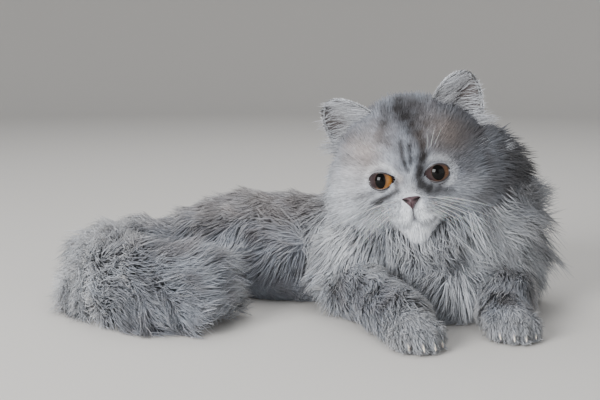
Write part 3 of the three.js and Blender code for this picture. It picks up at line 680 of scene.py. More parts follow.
def head_markings(points):
    """Dark, pale and fawn shares of the coat at places on the head, with painted shade among the
    dark.
    """
    to = in_head(points)
    x, y, z = to[:, 0], to[:, 1], to[:, 2]
    front = rise_between(-y, 0.0, 0.3)
    dark = np.zeros(len(to))
    for line, width, strength in FOREHEAD_MARKS + CHEEK_MARKS:
        dark = np.maximum(dark, strength * bell(stroke_distance(x, z, line), width) * front)
    dark = np.clip(dark * (0.95 + 0.12 * waves(points, 6, 21.0)[:, 0]), 0, 1)
    strokes = dark
    crown = 0.5 * rise_between(y, -0.35, 0.1) * rise_between(z, 0.2, 0.6)
    brow = 0.3 * patch_round(to, (-0.35, -0.45, 0.8), 0.35)
    dark = np.maximum(dark, np.maximum(crown, brow))
    # Painted shade: the side that the head turns away from, which gets little light, is darkened.
    painted_shade_far_side = patch_round(to, (0.78, -0.5, 0.3), 0.45)
    painted_shade_far_mane = patch_round(to, (0.92, 0.25, -0.15), 0.42)
    dark = np.maximum(dark, np.maximum(0.85 * painted_shade_far_side, 0.9 * painted_shade_far_mane))
    smudge = patch_round(to, (-0.5, -0.75, -0.42), 0.16)
    dark = np.maximum(dark, 0.35 * smudge)
    # The muzzle and chin are pale, with dark lines at the lips, which are painted shade of the
    # mouth's creases, and dots where the whiskers stand.
    muzzle = patch_round(to, (0, -0.74, -0.64), 0.27)
    chin = patch_round(to, (0, -0.5, -0.87), 0.3)
    pale = np.clip(0.8 * muzzle * (1 - 0.3 * rise_between(x, 0, 0.3)) + 1.5 * chin, 0, 1)
    for line in (LIP_PARTING, LIP_LINE, [(-a, b) for a, b in LIP_LINE]):
        lip = bell(stroke_distance(x, z, line), 0.024) * front
        dark = np.maximum(dark, 0.4 * lip)
        pale = pale * (1 - 0.6 * lip)
    for side in (RIGHT, LEFT):
        for place in whisker_roots(side):
            dot = bell(np.hypot(x - place[0], z - place[1]), 0.02) * front
            dark = np.maximum(dark, 0.45 * dot)
            pale = pale * (1 - 0.6 * dot)
    # The bridge of the nose, the edges of the lids and the cheeks are pale.
    bridge = 0.35 * bell(x, 0.09) * bell(z + 0.28, 0.14) * front
    lids = bell(from_eyes(points) - 12.0, 2.2) * rise_between(-y, 0.3, 0.6)
    pale = np.maximum(pale, np.maximum(bridge, 0.75 * lids * (1 - dark)))
    cheek = patch_round(to, (-0.8, -0.3, -0.45), 0.42)
    far_cheek = patch_round(to, (0.72, -0.45, -0.5), 0.2)
    pale = np.maximum(pale, np.maximum(0.75 * cheek, 0.3 * far_cheek))
    # A warm tinge beside the forehead, and a pinkish place between the eye and the nose.
    warm = patch_round(to, (-0.66, -0.6, 0.3), 0.3)
    warm_brow = patch_round(to, (0.62, -0.6, 0.45), 0.25)
    pink = bell(np.hypot(x + 0.17, z + 0.2), 0.06) * front
    # Where a dark mark crosses a pale part, the mark shows.
    pale = np.maximum(pale, 0.5 * pink) * (1 - 0.9 * strokes)
    fawn = np.maximum(np.maximum(0.7 * warm, 0.45 * warm_brow), 0.5 * pink)
    return dark, pale, fawn


# Patches on the breast and ruff: where, as x and z, their size across and up, and how pale they
# are, or how dark where the number is less than 0.
BREAST_PATCHES = [
    ((160, 76), (12, 17), 1.0),
    ((143, 80), (8, 15), -0.45),
    ((142, 52), (12, 10), 0.8),
    ((175, 46), (11, 6), 0.9),
    ((58, 43), (12, 8), 0.85),
    ((29, 52), (20, 20), 1.0),
    ((125, 18), (14, 12), 0.9),
    ((162, 40), (8, 5), -0.9),
    ((62, 54), (12, 4), -0.7),
    ((110, 51), (6, 5), -0.75),
    ((146, 27), (10, 5), -0.7),
    # Painted shade: the two broad dark patches at the far edge of the ruff.
    ((178, 96), (16, 26), -0.8),
    ((192, 66), (16, 24), -0.9),
    ((176, 26), (12, 10), -0.6),
]


def breast_patches(points, dark, pale):
    """Adds the pale and dark patches that show from the front; the broad dark ones at the far edge
    of the ruff are painted shade.
    """
    ahead = rise_between(-points[:, 1], -70, -30)
    for (x, z), (wide, high), strength in BREAST_PATCHES:
        away = np.hypot((points[:, 0] - x) / wide, (points[:, 2] - z) / high)
        patch = abs(strength) * bell(away, 0.8) * ahead
        if strength > 0:
            pale, dark = np.maximum(pale, patch), dark * (1 - patch)
        else:
            dark, pale = np.maximum(dark, patch), pale * (1 - patch)
    return dark, pale


def body_markings(points):
    """Dark, pale and fawn shares of the coat at places on the body, legs and tail, with painted
    shade in the dark and painted warm light in the fawn.
    """
    x, y, z = points[:, 0], points[:, 1], points[:, 2]
    # The body is darker towards the hips, with paler bars across its side. Low down it is darker
    # still: painted shade near the floor.
    behind = rise_between(-x, -70, -10) * rise_between(y, 20, 50)
    bars = 0.5 + 0.5 * np.sin((x + 0.5 * y - 0.4 * z) * TAU / 46)
    dark = behind * (0.35 + 0.4 * bars * rise_between(z, 10, 60) + 0.4 * rise_between(-z, -45, -10))
    # The breast and ruff are pale, with grey patches.
    breast = bell(np.hypot(x - 112, (y + 20) * 0.7), 48)
    mottled = waves(points, 40, 12.0)[:, 0]
    pale = breast * (0.25 + 0.45 * rise_between(mottled, -0.3, 0.4))
    dark = np.maximum(dark, breast * 0.4 * rise_between(-mottled, 0.1, 0.6))
    dark, pale = breast_patches(points, dark, pale)
    # The forearms and paws have dark bars across them, darker on the cat's right, and pale toes.
    for side in (RIGHT, LEFT):
        start = np.array(ARMS[side]["fore"][0], float)
        end = np.array(ARMS[side]["paw"][1], float)
        forward = unit(end - start)
        along = (points - start) @ forward
        aside = np.linalg.norm(points - start - along[:, None] * forward, axis=1)
        near = rise_between(-aside, -34, -20) * rise_between(along, -5, 12)
        rings = bell(((along % 23) - 11.5), 4) * near * rise_between(z, 8, 20)
        dark = np.maximum(dark, near * (0.28 if side == RIGHT else 0.1))
        dark = np.maximum(dark, (0.75 if side == RIGHT else 0.4) * rings)
        toes = near * rise_between(along, 80, 104)
        pale = pale * (1 - near) + 0.35 * toes
    # The tail is grey, darker towards its root, and paler along its outer bend.
    tail_part = rise_between(-x, 84, 100)
    dark = dark * (1 - tail_part) + tail_part * (0.12 + 0.3 * rise_between(y, 10, 60))
    tip = rise_between(-x, 115, 185)
    pale = np.maximum(pale * (1 - tail_part), 0.45 * tip * tail_part)
    # Painted warm light: the back and the top of the tail have a brownish tinge, for light thrown
    # back from warm surroundings.
    return dark, pale, 0.3 * rise_between(z, 40, 80) * rise_between(-x, -60, 20)


def markings(points, region):
    """The three shares that the coat's material mixes by: dark, pale and fawn."""
    if region == "ear":
        return alike(EAR_SKIN_MARKS, points)
    dark, pale, fawn = head_markings(points) if region == "head" else body_markings(points)
    if region == "ruff":
        mottled = waves(points, 44, 15.0)[:, 0]
        pale = np.maximum(pale, 0.2 + 0.4 * rise_between(mottled, -0.3, 0.4))
        dark, pale = breast_patches(points, dark, pale)
    return np.stack([dark, pale, fawn], axis=1)


def alike(marks, points):
    """The same shares of dark, pale and fawn at every place."""
    return np.tile(marks, (len(points), 1))


# Colours and materials


def linear(hex_colour):
    """An sRGB hex colour as linear red, green and blue."""
    values = [int(hex_colour[i : i + 2], 16) / 255 for i in (1, 3, 5)]
    return [v / 12.92 if v <= 0.04045 else ((v + 0.055) / 1.055) ** 2.4 for v in values]


def opaque(colour):
    """A colour with its fourth number."""
    return (*colour[:3], 1.0)


def add_node(tree, kind, links=None, **settings):
    """Adds a node. links fills its inputs by name or number, with a value or an output socket."""
    node = tree.nodes.new(kind)
    for key, value in settings.items():
        setattr(node, key, value)
    for key, value in (links or {}).items():
        if isinstance(value, bpy.types.NodeSocket):
            tree.links.new(value, node.inputs[key])
        else:
            node.inputs[key].default_value = value
    return node


def new_material(name):
    """An empty material with its output, as (material, tree, output)."""
    material = bpy.data.materials.new(name)
    material.use_nodes = True
    material.node_tree.nodes.clear()
    return material, material.node_tree, add_node(material.node_tree, "ShaderNodeOutputMaterial")


# The settings of a node that mixes colours, whose inputs are the share (0) and the colours (6, 7),
# and of nodes that work out a number from others, held between 0 and 1.
COLOURS = {"data_type": "RGBA"}
SCALED = {"operation": "MULTIPLY_ADD", "use_clamp": True}
TIMES = {"operation": "MULTIPLY", "use_clamp": True}
LESS = {"operation": "SUBTRACT", "use_clamp": True}


def silver_tabby_coat(colours, name, passing, strength):
    """Soft guard hair over a woolly undercoat. The hair is matt with a faint sheen along it.

    passing is how much light goes through the hair, which softens a long coat. strength makes up
    for the light that is lost between tufts.
    """
    material, tree, output = new_material(name)
    marks = add_node(tree, "ShaderNodeAttribute", attribute_name="markings")
    parts = add_node(tree, "ShaderNodeSeparateColor", {0: marks.outputs["Color"]})
    dark, pale, fawn = (parts.outputs[i] for i in range(3))
    shade = marks.outputs["Alpha"]
    along = add_node(tree, "ShaderNodeAttribute", attribute_name="along").outputs["Fac"]
    place = add_node(tree, "ShaderNodeTexCoord").outputs["Object"]
    # Clouding of the coat, 18 mm across, and its ticking, 2.5 mm across.
    clouds = add_node(
        tree, "ShaderNodeTexNoise", {"Vector": place, "Scale": 1 / 0.018, "Detail": 3.0}
    ).outputs[0]
    ticking = add_node(
        tree, "ShaderNodeTexNoise", {"Vector": place, "Scale": 1 / 0.0025, "Detail": 2.0}
    ).outputs[0]
    cloudy = add_node(tree, "ShaderNodeMath", {0: clouds, 1: 2.4, 2: -0.75}, **SCALED).outputs[0]
    # Clouded silver hair, marked with smoke, white and fawn in that order.
    hair = add_node(
        tree,
        "ShaderNodeMix",
        {0: cloudy, 6: opaque(colours.silver_dark), 7: opaque(colours.silver)},
        **COLOURS,
    ).outputs[2]
    for mark, colour in ((dark, colours.smoke), (pale, colours.white), (fawn, colours.fawn)):
        hair = add_node(
            tree, "ShaderNodeMix", {0: mark, 6: hair, 7: opaque(colour)}, **COLOURS
        ).outputs[2]
    # Hair is darker at its root, and single tufts differ from one another.
    depth = add_node(tree, "ShaderNodeMath", {0: along, 1: 0.18, 2: 0.8}, **SCALED).outputs[0]
    mixed = add_node(tree, "ShaderNodeMath", {0: shade, 1: 0.6, 2: 0.2}, **SCALED).outputs[0]
    ticked = add_node(tree, "ShaderNodeMath", {0: ticking, 1: 0.4, 2: mixed}, **SCALED).outputs[0]
    light = add_node(
        tree, "ShaderNodeMath", {0: depth, 1: ticked}, operation="MULTIPLY"
    ).outputs[0]
    light = add_node(
        tree, "ShaderNodeMath", {0: light, 1: strength}, operation="MULTIPLY"
    ).outputs[0]
    shaded = add_node(
        tree,
        "ShaderNodeVectorMath",
        {0: hair, "Scale": light},
        operation="SCALE",
    ).outputs[0]
    shader = add_node(
        tree,
        "ShaderNodeBsdfPrincipled",
        {
            "Base Color": shaded,
            "Roughness": 0.62,
            "Specular IOR Level": 0.3,
            "Sheen Weight": 0.25,
            "Sheen Roughness": 0.5,
            "Subsurface Weight": passing,
            "Subsurface Radius": (1.0, 0.95, 0.9),
            "Subsurface Scale": 0.003,
        },
    )
    tree.links.new(shader.outputs[0], output.inputs[0])
    return material


def wet_copper_iris(colours):
    """A black pupil and a copper iris with fine spokes and a dark edge, under a wet cornea."""
    material, tree, output = new_material("wet copper iris")
    turned = add_node(tree, "ShaderNodeAttribute", attribute_name="from_gaze").outputs["Fac"]
    spokes_at = add_node(tree, "ShaderNodeAttribute", attribute_name="spokes").outputs["Vector"]
    painted_iris_light = add_node(tree, "ShaderNodeAttribute", attribute_name="painted_iris_light").outputs["Fac"]
    spokes = add_node(
        tree, "ShaderNodeTexNoise", {"Vector": spokes_at, "Scale": 9.0, "Detail": 3.0}
    ).outputs[0]
    # From the pupil's edge outwards: black, ochre, copper, and the dark edge of the iris. The
    # fourth number is 0 in the pupil.
    bands = add_node(tree, "ShaderNodeValToRGB", {0: turned})
    ramp = bands.color_ramp
    copper = tuple(colours.iris)
    black = (0.002, 0.002, 0.002, 0)
    stops = (
        (0.0, black),
        (0.34, black),
        (0.36, tuple(0.4 * c + 0.03 for c in copper) + (1,)),
        (0.44, tuple(0.8 * c + 0.05 for c in copper) + (1,)),
        (0.56, (*copper, 1)),
        (0.68, (0.03, 0.014, 0.01, 1)),
        (0.85, (0.014, 0.009, 0.008, 1)),
    )
    while len(ramp.elements) < len(stops):
        ramp.elements.new(0.5)
    for element, (position, colour) in zip(ramp.elements, stops):
        element.position = position
        element.color = colour
    # Painted light and shade: the iris is painted a dim mauve under the upper lid, for shade, and
    # bright on the side away from the light, for light that the cornea gathers there.
    spoked = add_node(tree, "ShaderNodeMath", {0: spokes, 1: 0.9, 2: 0.4}, **SCALED).outputs[0]
    bright = add_node(
        tree, "ShaderNodeVectorMath", {0: bands.outputs[0], "Scale": spoked}, operation="SCALE"
    ).outputs[0]
    painted_shade_share = add_node(tree, "ShaderNodeMath", {0: 1.0, 1: painted_iris_light}, **LESS).outputs[0]
    painted_dim_share = add_node(tree, "ShaderNodeMath", {0: painted_shade_share, 1: bands.outputs[1]}, **TIMES).outputs[0]
    coloured = add_node(
        tree, "ShaderNodeMix", {0: painted_dim_share, 6: bright, 7: opaque(colours.iris_painted_shade)}, **COLOURS
    ).outputs[2]
    shader = add_node(
        tree,
        "ShaderNodeBsdfPrincipled",
        {
            "Base Color": coloured,
            "Roughness": 0.35,
            "Specular IOR Level": 0.0,
            "Coat Weight": 1.0,
            "Coat Roughness": 0.02,
            "Coat IOR": 1.28,
        },
    )
    tree.links.new(shader.outputs[0], output.inputs[0])
    return material


def bare_skin(name, colour, grain, roughness, coat):
    """Bare skin with a fine pebbled grain. Nose leather and lids are moist and softly glossy."""
    material, tree, output = new_material(name)
    place = add_node(tree, "ShaderNodeTexCoord").outputs["Object"]
    hollow_and_painted_shade = add_node(tree, "ShaderNodeAttribute", attribute_name="hollow_and_painted_shade").outputs["Fac"]
    pebbles = add_node(
        tree, "ShaderNodeTexVoronoi", {"Vector": place, "Scale": 1 / grain}
    ).outputs["Distance"]
    patches = add_node(
        tree, "ShaderNodeTexNoise", {"Vector": place, "Scale": 1 / 0.004, "Detail": 2.0}
    ).outputs[0]
    darker = opaque([0.6 * c for c in colour])
    toned = add_node(
        tree, "ShaderNodeMix", {0: patches, 6: darker, 7: opaque(colour)}, **COLOURS
    ).outputs[2]
    # Painted shade: the nostrils and the groove below the nose turn near black.
    deep = add_node(
        tree, "ShaderNodeMix", {0: hollow_and_painted_shade, 6: toned, 7: (0.006, 0.004, 0.004, 1)}, **COLOURS
    ).outputs[2]
    bump = add_node(
        tree, "ShaderNodeBump", {"Height": pebbles, "Distance": 0.0002, "Strength": 0.5}
    ).outputs[0]
    shader = add_node(
        tree,
        "ShaderNodeBsdfPrincipled",
        {
            "Base Color": deep,
            "Roughness": roughness,
            "Coat Weight": coat,
            "Coat Roughness": 0.25,
            "Normal": bump,
        },
    )
    tree.links.new(shader.outputs[0], output.inputs[0])
    return material


def horn(name, colour, roughness):
    """Keratin of claws and whiskers: pale, streaked along its length, with a waxy gloss."""
    material, tree, output = new_material(name)
    along = add_node(tree, "ShaderNodeAttribute", attribute_name="along").outputs["Fac"]
    place = add_node(tree, "ShaderNodeTexCoord").outputs["Object"]
    streaks = add_node(
        tree, "ShaderNodeTexNoise", {"Vector": place, "Scale": 1 / 0.0012, "Detail": 2.0}
    ).outputs[0]
    dull, clear = opaque([0.55 * c for c in colour]), opaque([min(1, 1.15 * c) for c in colour])
    root = add_node(
        tree, "ShaderNodeMix", {0: streaks, 6: dull, 7: opaque(colour)}, **COLOURS
    ).outputs[2]
    tipped = add_node(tree, "ShaderNodeMix", {0: along, 6: root, 7: clear}, **COLOURS).outputs[2]
    shader = add_node(
        tree,
        "ShaderNodeBsdfPrincipled",
        {
            "Base Color": tipped,
            "Roughness": roughness,
            "Subsurface Weight": 0.15,
            "Subsurface Scale": 0.001,
        },
    )
    tree.links.new(shader.outputs[0], output.inputs[0])
    return material


# The add-on's own settings


class CatCoatSettings(bpy.types.PropertyGroup):
    """How the coat grows."""

    tuft_share: FloatProperty(
        name="Tufts",
        description="Share of the full number of tufts",
        default=1.0,
        min=0.05,
        max=1.2,
    )
    tuft_width: FloatProperty(
        name="Tuft width",
        description="Width of a long tuft at its widest, in metres",
        default=0.0014,
        unit="LENGTH",
    )
    seed: IntProperty(name="Seed", description="Start of the random draws", default=7)


class CatColours(bpy.types.PropertyGroup):
    """Colours of the coat, eyes, nose and claws."""

    silver: FloatVectorProperty(
        name="Silver",
        description="Light hair of the tabby coat",
        subtype="COLOR",
        size=3,
        default=linear("#a8b0bd"),
    )
    silver_dark: FloatVectorProperty(
        name="Grey",
        description="Clouded hair of the tabby coat",
        subtype="COLOR",
        size=3,
        default=linear("#727279"),
    )
    smoke: FloatVectorProperty(
        name="Smoke",
        description="Dark marks of the coat",
        subtype="COLOR",
        size=3,
        default=linear("#19171b"),
    )
    white: FloatVectorProperty(
        name="White",
        description="Muzzle, chin and ruff",
        subtype="COLOR",
        size=3,
        default=linear("#eef2f8"),
    )
    fawn: FloatVectorProperty(
        name="Fawn",
        description="Warm tint beside the forehead",
        subtype="COLOR",
        size=3,
        default=linear("#a89a92"),
    )
    iris: FloatVectorProperty(
        name="Iris",
        description="Copper of the eyes",
        subtype="COLOR",
        size=3,
        default=linear("#b87a2e"),
    )
    # Painted shade: the iris's colour where little light falls on it.
    iris_painted_shade: FloatVectorProperty(
        name="Dim iris",
        description="The iris on the side that gets little light",
        subtype="COLOR",
        size=3,
        default=linear("#3b3031"),
    )
    rim: FloatVectorProperty(
        name="Rims",
        description="Dark skin of lids and lips",
        subtype="COLOR",
        size=3,
        default=linear("#2a2022"),
    )
    nose: FloatVectorProperty(
        name="Nose",
        description="Leather of the nose",
        subtype="COLOR",
        size=3,
        default=linear("#5c4248"),
    )
    claw: FloatVectorProperty(
        name="Claws",
        description="Horn of the claws",
        subtype="COLOR",
        size=3,
        default=linear("#e6ddd0"),
    )
    floor: FloatVectorProperty(
        name="Floor",
        description="The studio's floor",
        subtype="COLOR",
        size=3,
        default=linear("#d9d6d1"),
    )


# Skin


def skin_forms():
    """Every form of the body, as (surface, columns, rows, depth)."""
    forms = [
        (head_surface, 96, 72, head_skin),
        (trunk, 72, 90, trunk_skin),
        (neck, 60, 30, lambda angle, v: neck_coat(angle, v) * SKIN_SHARE),
        (tail, 36, 100, tail_skin),
    ]
    for side in (RIGHT, LEFT):
        forms.append((upper_arm[side], 40, 32, UPPER_ARM_COAT * SKIN_SHARE))
        forms.append((forearm[side], 36, 36, FOREARM_COAT * SKIN_SHARE))
        forms.append((thigh[side], 40, 32, THIGH_COAT * SKIN_SHARE))
        forms += [(form, 28, 18, 0.0) for form in paw_forms(*ARMS[side]["paw"], PAW_WIDTH)]
        forms += [(form, 28, 18, 0.0) for form in paw_forms(*LEGS[side]["foot"], FOOT_WIDTH)]
    return forms


def flesh_nodes():
    """Every solid that the skin and coat stand for."""
    return [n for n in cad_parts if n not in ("eye_left", "eye_right", "nose")]


class CAT_OT_skin(bpy.types.Operator):
    """Build one skin over the whole body, with the ears"""

    bl_idname = "cat.skin"
    bl_label = "Skin"

    def execute(self, context):
        pieces = []
        for number, (surface, around, rows, out) in enumerate(skin_forms()):
            points, faces = grid_mesh(surface, around, rows, out)
            pieces.append(mesh_object(f"form_{number}", points, faces))
        skin = join(pieces, "skin")
        apply_modifier(skin, "REMESH", mode="VOXEL", voxel_size=0.002)
        apply_modifier(skin, "SMOOTH", factor=0.6, iterations=6)
        ears = []
        for side in (RIGHT, LEFT):
            points, faces = grid_mesh(ear_surface(side), 40, 26, 0.3)
            ears.append(mesh_object(f"ear_{side}", points, faces))
        points = socketed(points_of(skin))
        points[:, 2] = np.maximum(points[:, 2], FLOOR_CLEARANCE)
        set_points(skin, points)
        regions = region_of(points)[:, None]
        marks = np.where(regions == "head", markings(points, "head"), markings(points, "body"))
        store_marks(skin, marks)
        for ear in ears:
            store_marks(ear, markings(points_of(ear), "ear"))
        skin = join([skin, *ears], "skin")
        bpy.ops.object.shade_smooth()
        skin.data.materials.append(bpy.data.materials["short tabby hair"])
        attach(skin, "root")
        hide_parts(*flesh_nodes())
        return {"FINISHED"}


def socketed(points):
    """Presses the skin back round the eyes, so that the rims of the lids stand on it."""
    lid_radius = EYE_RADIUS + 0.6
    for side in (RIGHT, LEFT):
        axis, inward, up = eye_frame(side)
        offset = points - eye_centre(side)
        along, across, above = offset @ axis, offset @ inward, offset @ up
        aside = np.hypot(across, above)
        rim = np.radians(lid_rim(np.arctan2(above, across) % TAU, side) + 6)
        edge = lid_radius * np.sin(rim)
        high = np.maximum(lid_radius * np.cos(rim), 4.0)
        # The skin stays 0.9 mm behind the lids, and slopes out again past their rim.
        limit = high - 0.9 + 0.8 * np.maximum(aside - edge, 0)
        near = (along > 0) & (aside < edge + 8)
        points = points + np.where(near, np.minimum(limit - along, 0), 0)[:, None] * axis
    return points


def store_marks(thing, marks):
    """Gives a stretch of skin its markings, and the tone of woolly undercoat."""
    shade = np.full((len(marks), 1), UNDERCOAT_SHADE)
    set_attribute(thing, "markings", "FLOAT_COLOR", np.hstack([marks, shade]))
    set_attribute(thing, "along", "FLOAT", np.full(len(marks), UNDERCOAT_ALONG))


def region_of(points):
    """Whether each place belongs to the head or the body."""
    from_skull = np.linalg.norm(points - SKULL_CENTRE, axis=1)
    return np.where((from_skull < 62) | (points[:, 2] > 120), "head", "body")


# Coat


# The steps of the sequence that fills a square most evenly.
EVEN_STEPS = (0.7548776662466927, 0.5698402909980532)


def spread(at, count, v_range, angle_range, weight):
    """Angles and places on a surface, spread evenly over its area times a weight."""
    rows, columns = 100, 120
    v = np.linspace(*v_range, rows + 1)
    angle = np.linspace(*angle_range, columns + 1)
    grid = at(*np.meshgrid(angle, v))
    down = np.diff(grid, axis=0)[:, :-1]
    aside = np.diff(grid, axis=1)[:-1]
    area = np.linalg.norm(np.cross(down, aside), axis=-1)
    area = area * weight(*np.meshgrid((angle[1:] + angle[:-1]) / 2, (v[1:] + v[:-1]) / 2)) + 1e-9
    by_row = np.cumsum(area.sum(1))
    by_row /= by_row[-1]
    number = np.arange(count)
    first, second = ((0.5 + number * step) % 1 for step in EVEN_STEPS)
    row = np.minimum(np.searchsorted(by_row, first), rows - 1)
    low = np.where(row > 0, by_row[row - 1], 0)
    place = (row + (first - low) / (by_row[row] - low)) / rows
    within = np.cumsum(area, axis=1)
    within /= within[:, -1:]
    flat = (within + np.arange(rows)[:, None]).ravel()
    found = np.minimum(np.searchsorted(flat, row + second), len(flat) - 1)
    column = found % columns
    lower = np.where(column > 0, within[row, np.maximum(column - 1, 0)], 0)
    step = (second - lower) / np.maximum(within[row, column] - lower, 1e-12)
    turn = (column + np.clip(step, 0, 1)) / columns
    return (
        angle_range[0] + (angle_range[1] - angle_range[0]) * turn,
        v_range[0] + (v_range[1] - v_range[0]) * place,
    )


class Roots:
    """The roots of some tufts: where they are and which way the surface runs there."""

    def __init__(
        self,
        surface,
        coat,
        count,
        v_range=(0.01, 0.99),
        angle_range=(0, TAU),
        weight=even(1),
        skin_out=None,
    ):
        skin_out = skin_out or (lambda angle, v: coat(angle, v) * SKIN_SHARE)
        at = lambda angle, v: surface(angle, v, skin_out(angle, v))
        self.angle, self.v = spread(at, count, v_range, angle_range, weight)
        self.depth = coat(self.angle, self.v)
        self.spot = at(self.angle, self.v)
        step, turn = 0.004, 0.02
        ahead, behind = np.minimum(self.v + step, 1), np.maximum(self.v - step, 0)
        self.along = unit(at(self.angle, ahead) - at(self.angle, behind))
        self.round = unit(at(self.angle + turn, self.v) - at(self.angle - turn, self.v))
        out = surface(self.angle, self.v, skin_out(self.angle, self.v) + 1) - self.spot
        normal = unit(np.cross(self.round, self.along))
        flip = np.sign(np.sum(normal * out, axis=1, keepdims=True))
        self.normal = unit(normal * np.where(flip == 0, 1, flip))

    def keep(self, chosen):
        """Leaves out the roots that aren't chosen."""
        for key in ("angle", "v", "depth", "spot", "along", "round", "normal"):
            setattr(self, key, getattr(self, key)[chosen])
        return self


def skin_tree():
    """The skin, for finding what is near it."""
    skin = bpy.data.objects["skin"]
    mesh = skin.data
    points = points_of(skin)
    mesh.calc_loop_triangles()
    corners = np.zeros(len(mesh.loop_triangles) * 3, np.int32)
    mesh.loop_triangles.foreach_get("vertices", corners)
    return BVHTree.FromPolygons(points.tolist(), corners.reshape(-1, 3).tolist())


def bared(roots, tree, hidden=2.0):
    """Leaves out roots that lie deep in another part of the body, and sets the rest on the skin."""
    keep = np.zeros(len(roots.spot), bool)
    for i, spot in enumerate(roots.spot):
        place, normal, _, distance = tree.find_nearest(Vector(spot))
        if place is None:
            continue
        inside = (Vector(spot) - place).dot(normal) < 0
        if distance < hidden or not inside:
            keep[i] = True
            if distance < 3 * hidden:
                roots.spot[i] = place
    return roots.keep(keep)


def waves(points, size, start):
    """Three smooth numbers at each place, between about -1 and 1, that change over some size."""
    found = []
    for axis in range(3):
        total = 0
        for turn in range(3):
            number = start + 7.3 * axis + 3.1 * turn
            way = unit((math.sin(number * 1.7), math.cos(number * 2.3), math.sin(number * 3.9 + 1)))
            total = total + np.sin(points @ way * TAU / (size * (1 + 0.45 * turn)) + number)
        found.append(total / 2)
    return np.stack(found, axis=-1)


def numbers_between(rng, count, low, high):
    """Random numbers, spread evenly."""
    return low + (high - low) * rng.random(count)


def tufts(
    roots,
    lie,
    length,
    width,
    rng,
    segments=3,
    loft=None,
    curve=14,
    sway=0.22,
    sag=0.0,
    clump=7.0,
    clumping=0.5,
    curl=0.0,
):
    """The paths of some tufts and their sections, as vertices (tuft, vertex, 3).

    A tuft leaves the skin steeply and bends over. Its tip is drawn to those of its neighbours.
    loft is its mean rise from the skin and curve how much that changes, in degrees. sway is how
    far it turns aside, sag how far it drops, and curl how far it waves. clump is the spacing of the
    locks in millimetres, and clumping how far the tips are drawn together.
    """
    count = len(roots.spot)
    length = np.broadcast_to(length, count) * numbers_between(rng, count, 0.72, 1.14)
    width = np.broadcast_to(width, count) * numbers_between(rng, count, 0.7, 1.3)
    if loft is None:
        loft = np.degrees(np.arcsin(np.clip((1 - SKIN_SHARE) * roots.depth / length, 0, 0.9)))
    loft = np.broadcast_to(loft, count) + rng.normal(0, 4, count)
    along = across_to(lie, roots.normal)
    sideways = np.cross(roots.normal, along)
    swing = rng.normal(0, sway, count)
    start = rng.normal(0, 0.5 * sway, count)
    spot = roots.spot - roots.normal * TUFT_ROOT
    path = [spot]
    for step in range(segments):
        share = (step + 0.5) / segments
        lift = np.radians(loft + curve * (1 - 2 * share))[:, None]
        forward = unit(
            along * np.cos(lift)
            + roots.normal * np.sin(lift)
            + sideways * (start + swing * share)[:, None]
            - UP * (sag * share)
        )
        spot = spot + forward * (length / segments)[:, None]
        path.append(spot)
    path = np.stack(path, axis=1)
    if curl > 0:
        # Neighbouring hair waves together.
        share = np.arange(segments + 1) / segments
        for row in range(1, segments + 1):
            swung = waves(path[:, row] + roots.spot * 0.2, 24, 31.0)
            path[:, row] += swung * (curl * share[row] ** 1.3)
    if clumping > 0:
        path = clumped(path, roots.spot, clump, clumping, rng)
    path[:, :, 2] = np.maximum(path[:, :, 2], FLOOR_CLEARANCE + 0.6 * width[:, None])
    return sections(path, roots.normal, width, TUFT_THICKNESS, rng)


def clumped(path, spots, spacing, pull, rng):
    """Draws the outer parts of tufts towards their nearest leading tuft."""
    count = len(path)
    leaders = rng.permutation(count)[: max(1, int(count * min(1, (2.0 / spacing) ** 2)))]
    tree = KDTree(len(leaders))
    for i, leader in enumerate(leaders):
        tree.insert(spots[leader], i)
    tree.balance()
    nearest = np.array([leaders[tree.find(spot)[1]] for spot in spots])
    share = (np.arange(path.shape[1]) / (path.shape[1] - 1)) ** 1.4
    strength = pull * numbers_between(rng, count, 0.5, 1.2)
    return path + (path[nearest] - path) * (share[None, :, None] * strength[:, None, None])


# The width of a tuft from its root to its tip, as shares, by its number of segments.
TAPERS = {
    2: (0.7, 0.95, 0.0),
    3: (0.6, 1.0, 0.68, 0.0),
    4: (0.55, 1.0, 0.85, 0.5, 0.0),
    8: (1.0, 0.95, 0.86, 0.75, 0.63, 0.5, 0.36, 0.2, 0.0),
}


def sections(path, normal, width, thick, rng):
    """Three-cornered sections along each path, narrowing to a point."""
    count, rows = path.shape[:2]
    roll = rng.normal(0, 0.5, count)[:, None]
    made = []
    for row in range(rows - 1):
        forward = unit(path[:, min(row + 1, rows - 1)] - path[:, max(row - 1, 0)])
        flat = unit(np.cross(normal, forward))
        over = np.cross(forward, flat)
        across = flat * np.cos(roll) + over * np.sin(roll)
        over = over * np.cos(roll) - flat * np.sin(roll)
        half = (0.5 * width * TAPERS[rows - 1][row])[:, None]
        for turn in (0, TAU / 3, 2 * TAU / 3):
            made.append(
                path[:, row]
                + across * half * math.cos(turn + math.pi / 2) * 1.15
                + over * half * thick * math.sin(turn + math.pi / 2) * 1.4
            )
    made.append(path[:, -1])
    return np.stack(made, axis=1)


def tuft_faces(segments):
    """The faces of one tuft."""
    faces = [(2, 1, 0)]
    for row in range(segments - 1):
        for corner in range(3):
            a, b = 3 * row + corner, 3 * row + (corner + 1) % 3
            faces += [(a, b, b + 3), (a, b + 3, a + 3)]
    base = 3 * (segments - 1)
    for corner in range(3):
        faces.append((base + corner, base + (corner + 1) % 3, base + 3))
    return np.array(faces)


def shown_at(made, segments):
    """Where each tuft shows, between its middle and its tip, which gives it its markings."""
    first = 3 * (segments // 2)
    return 0.5 * (made[:, first : first + 3].mean(axis=1) + made[:, -1])


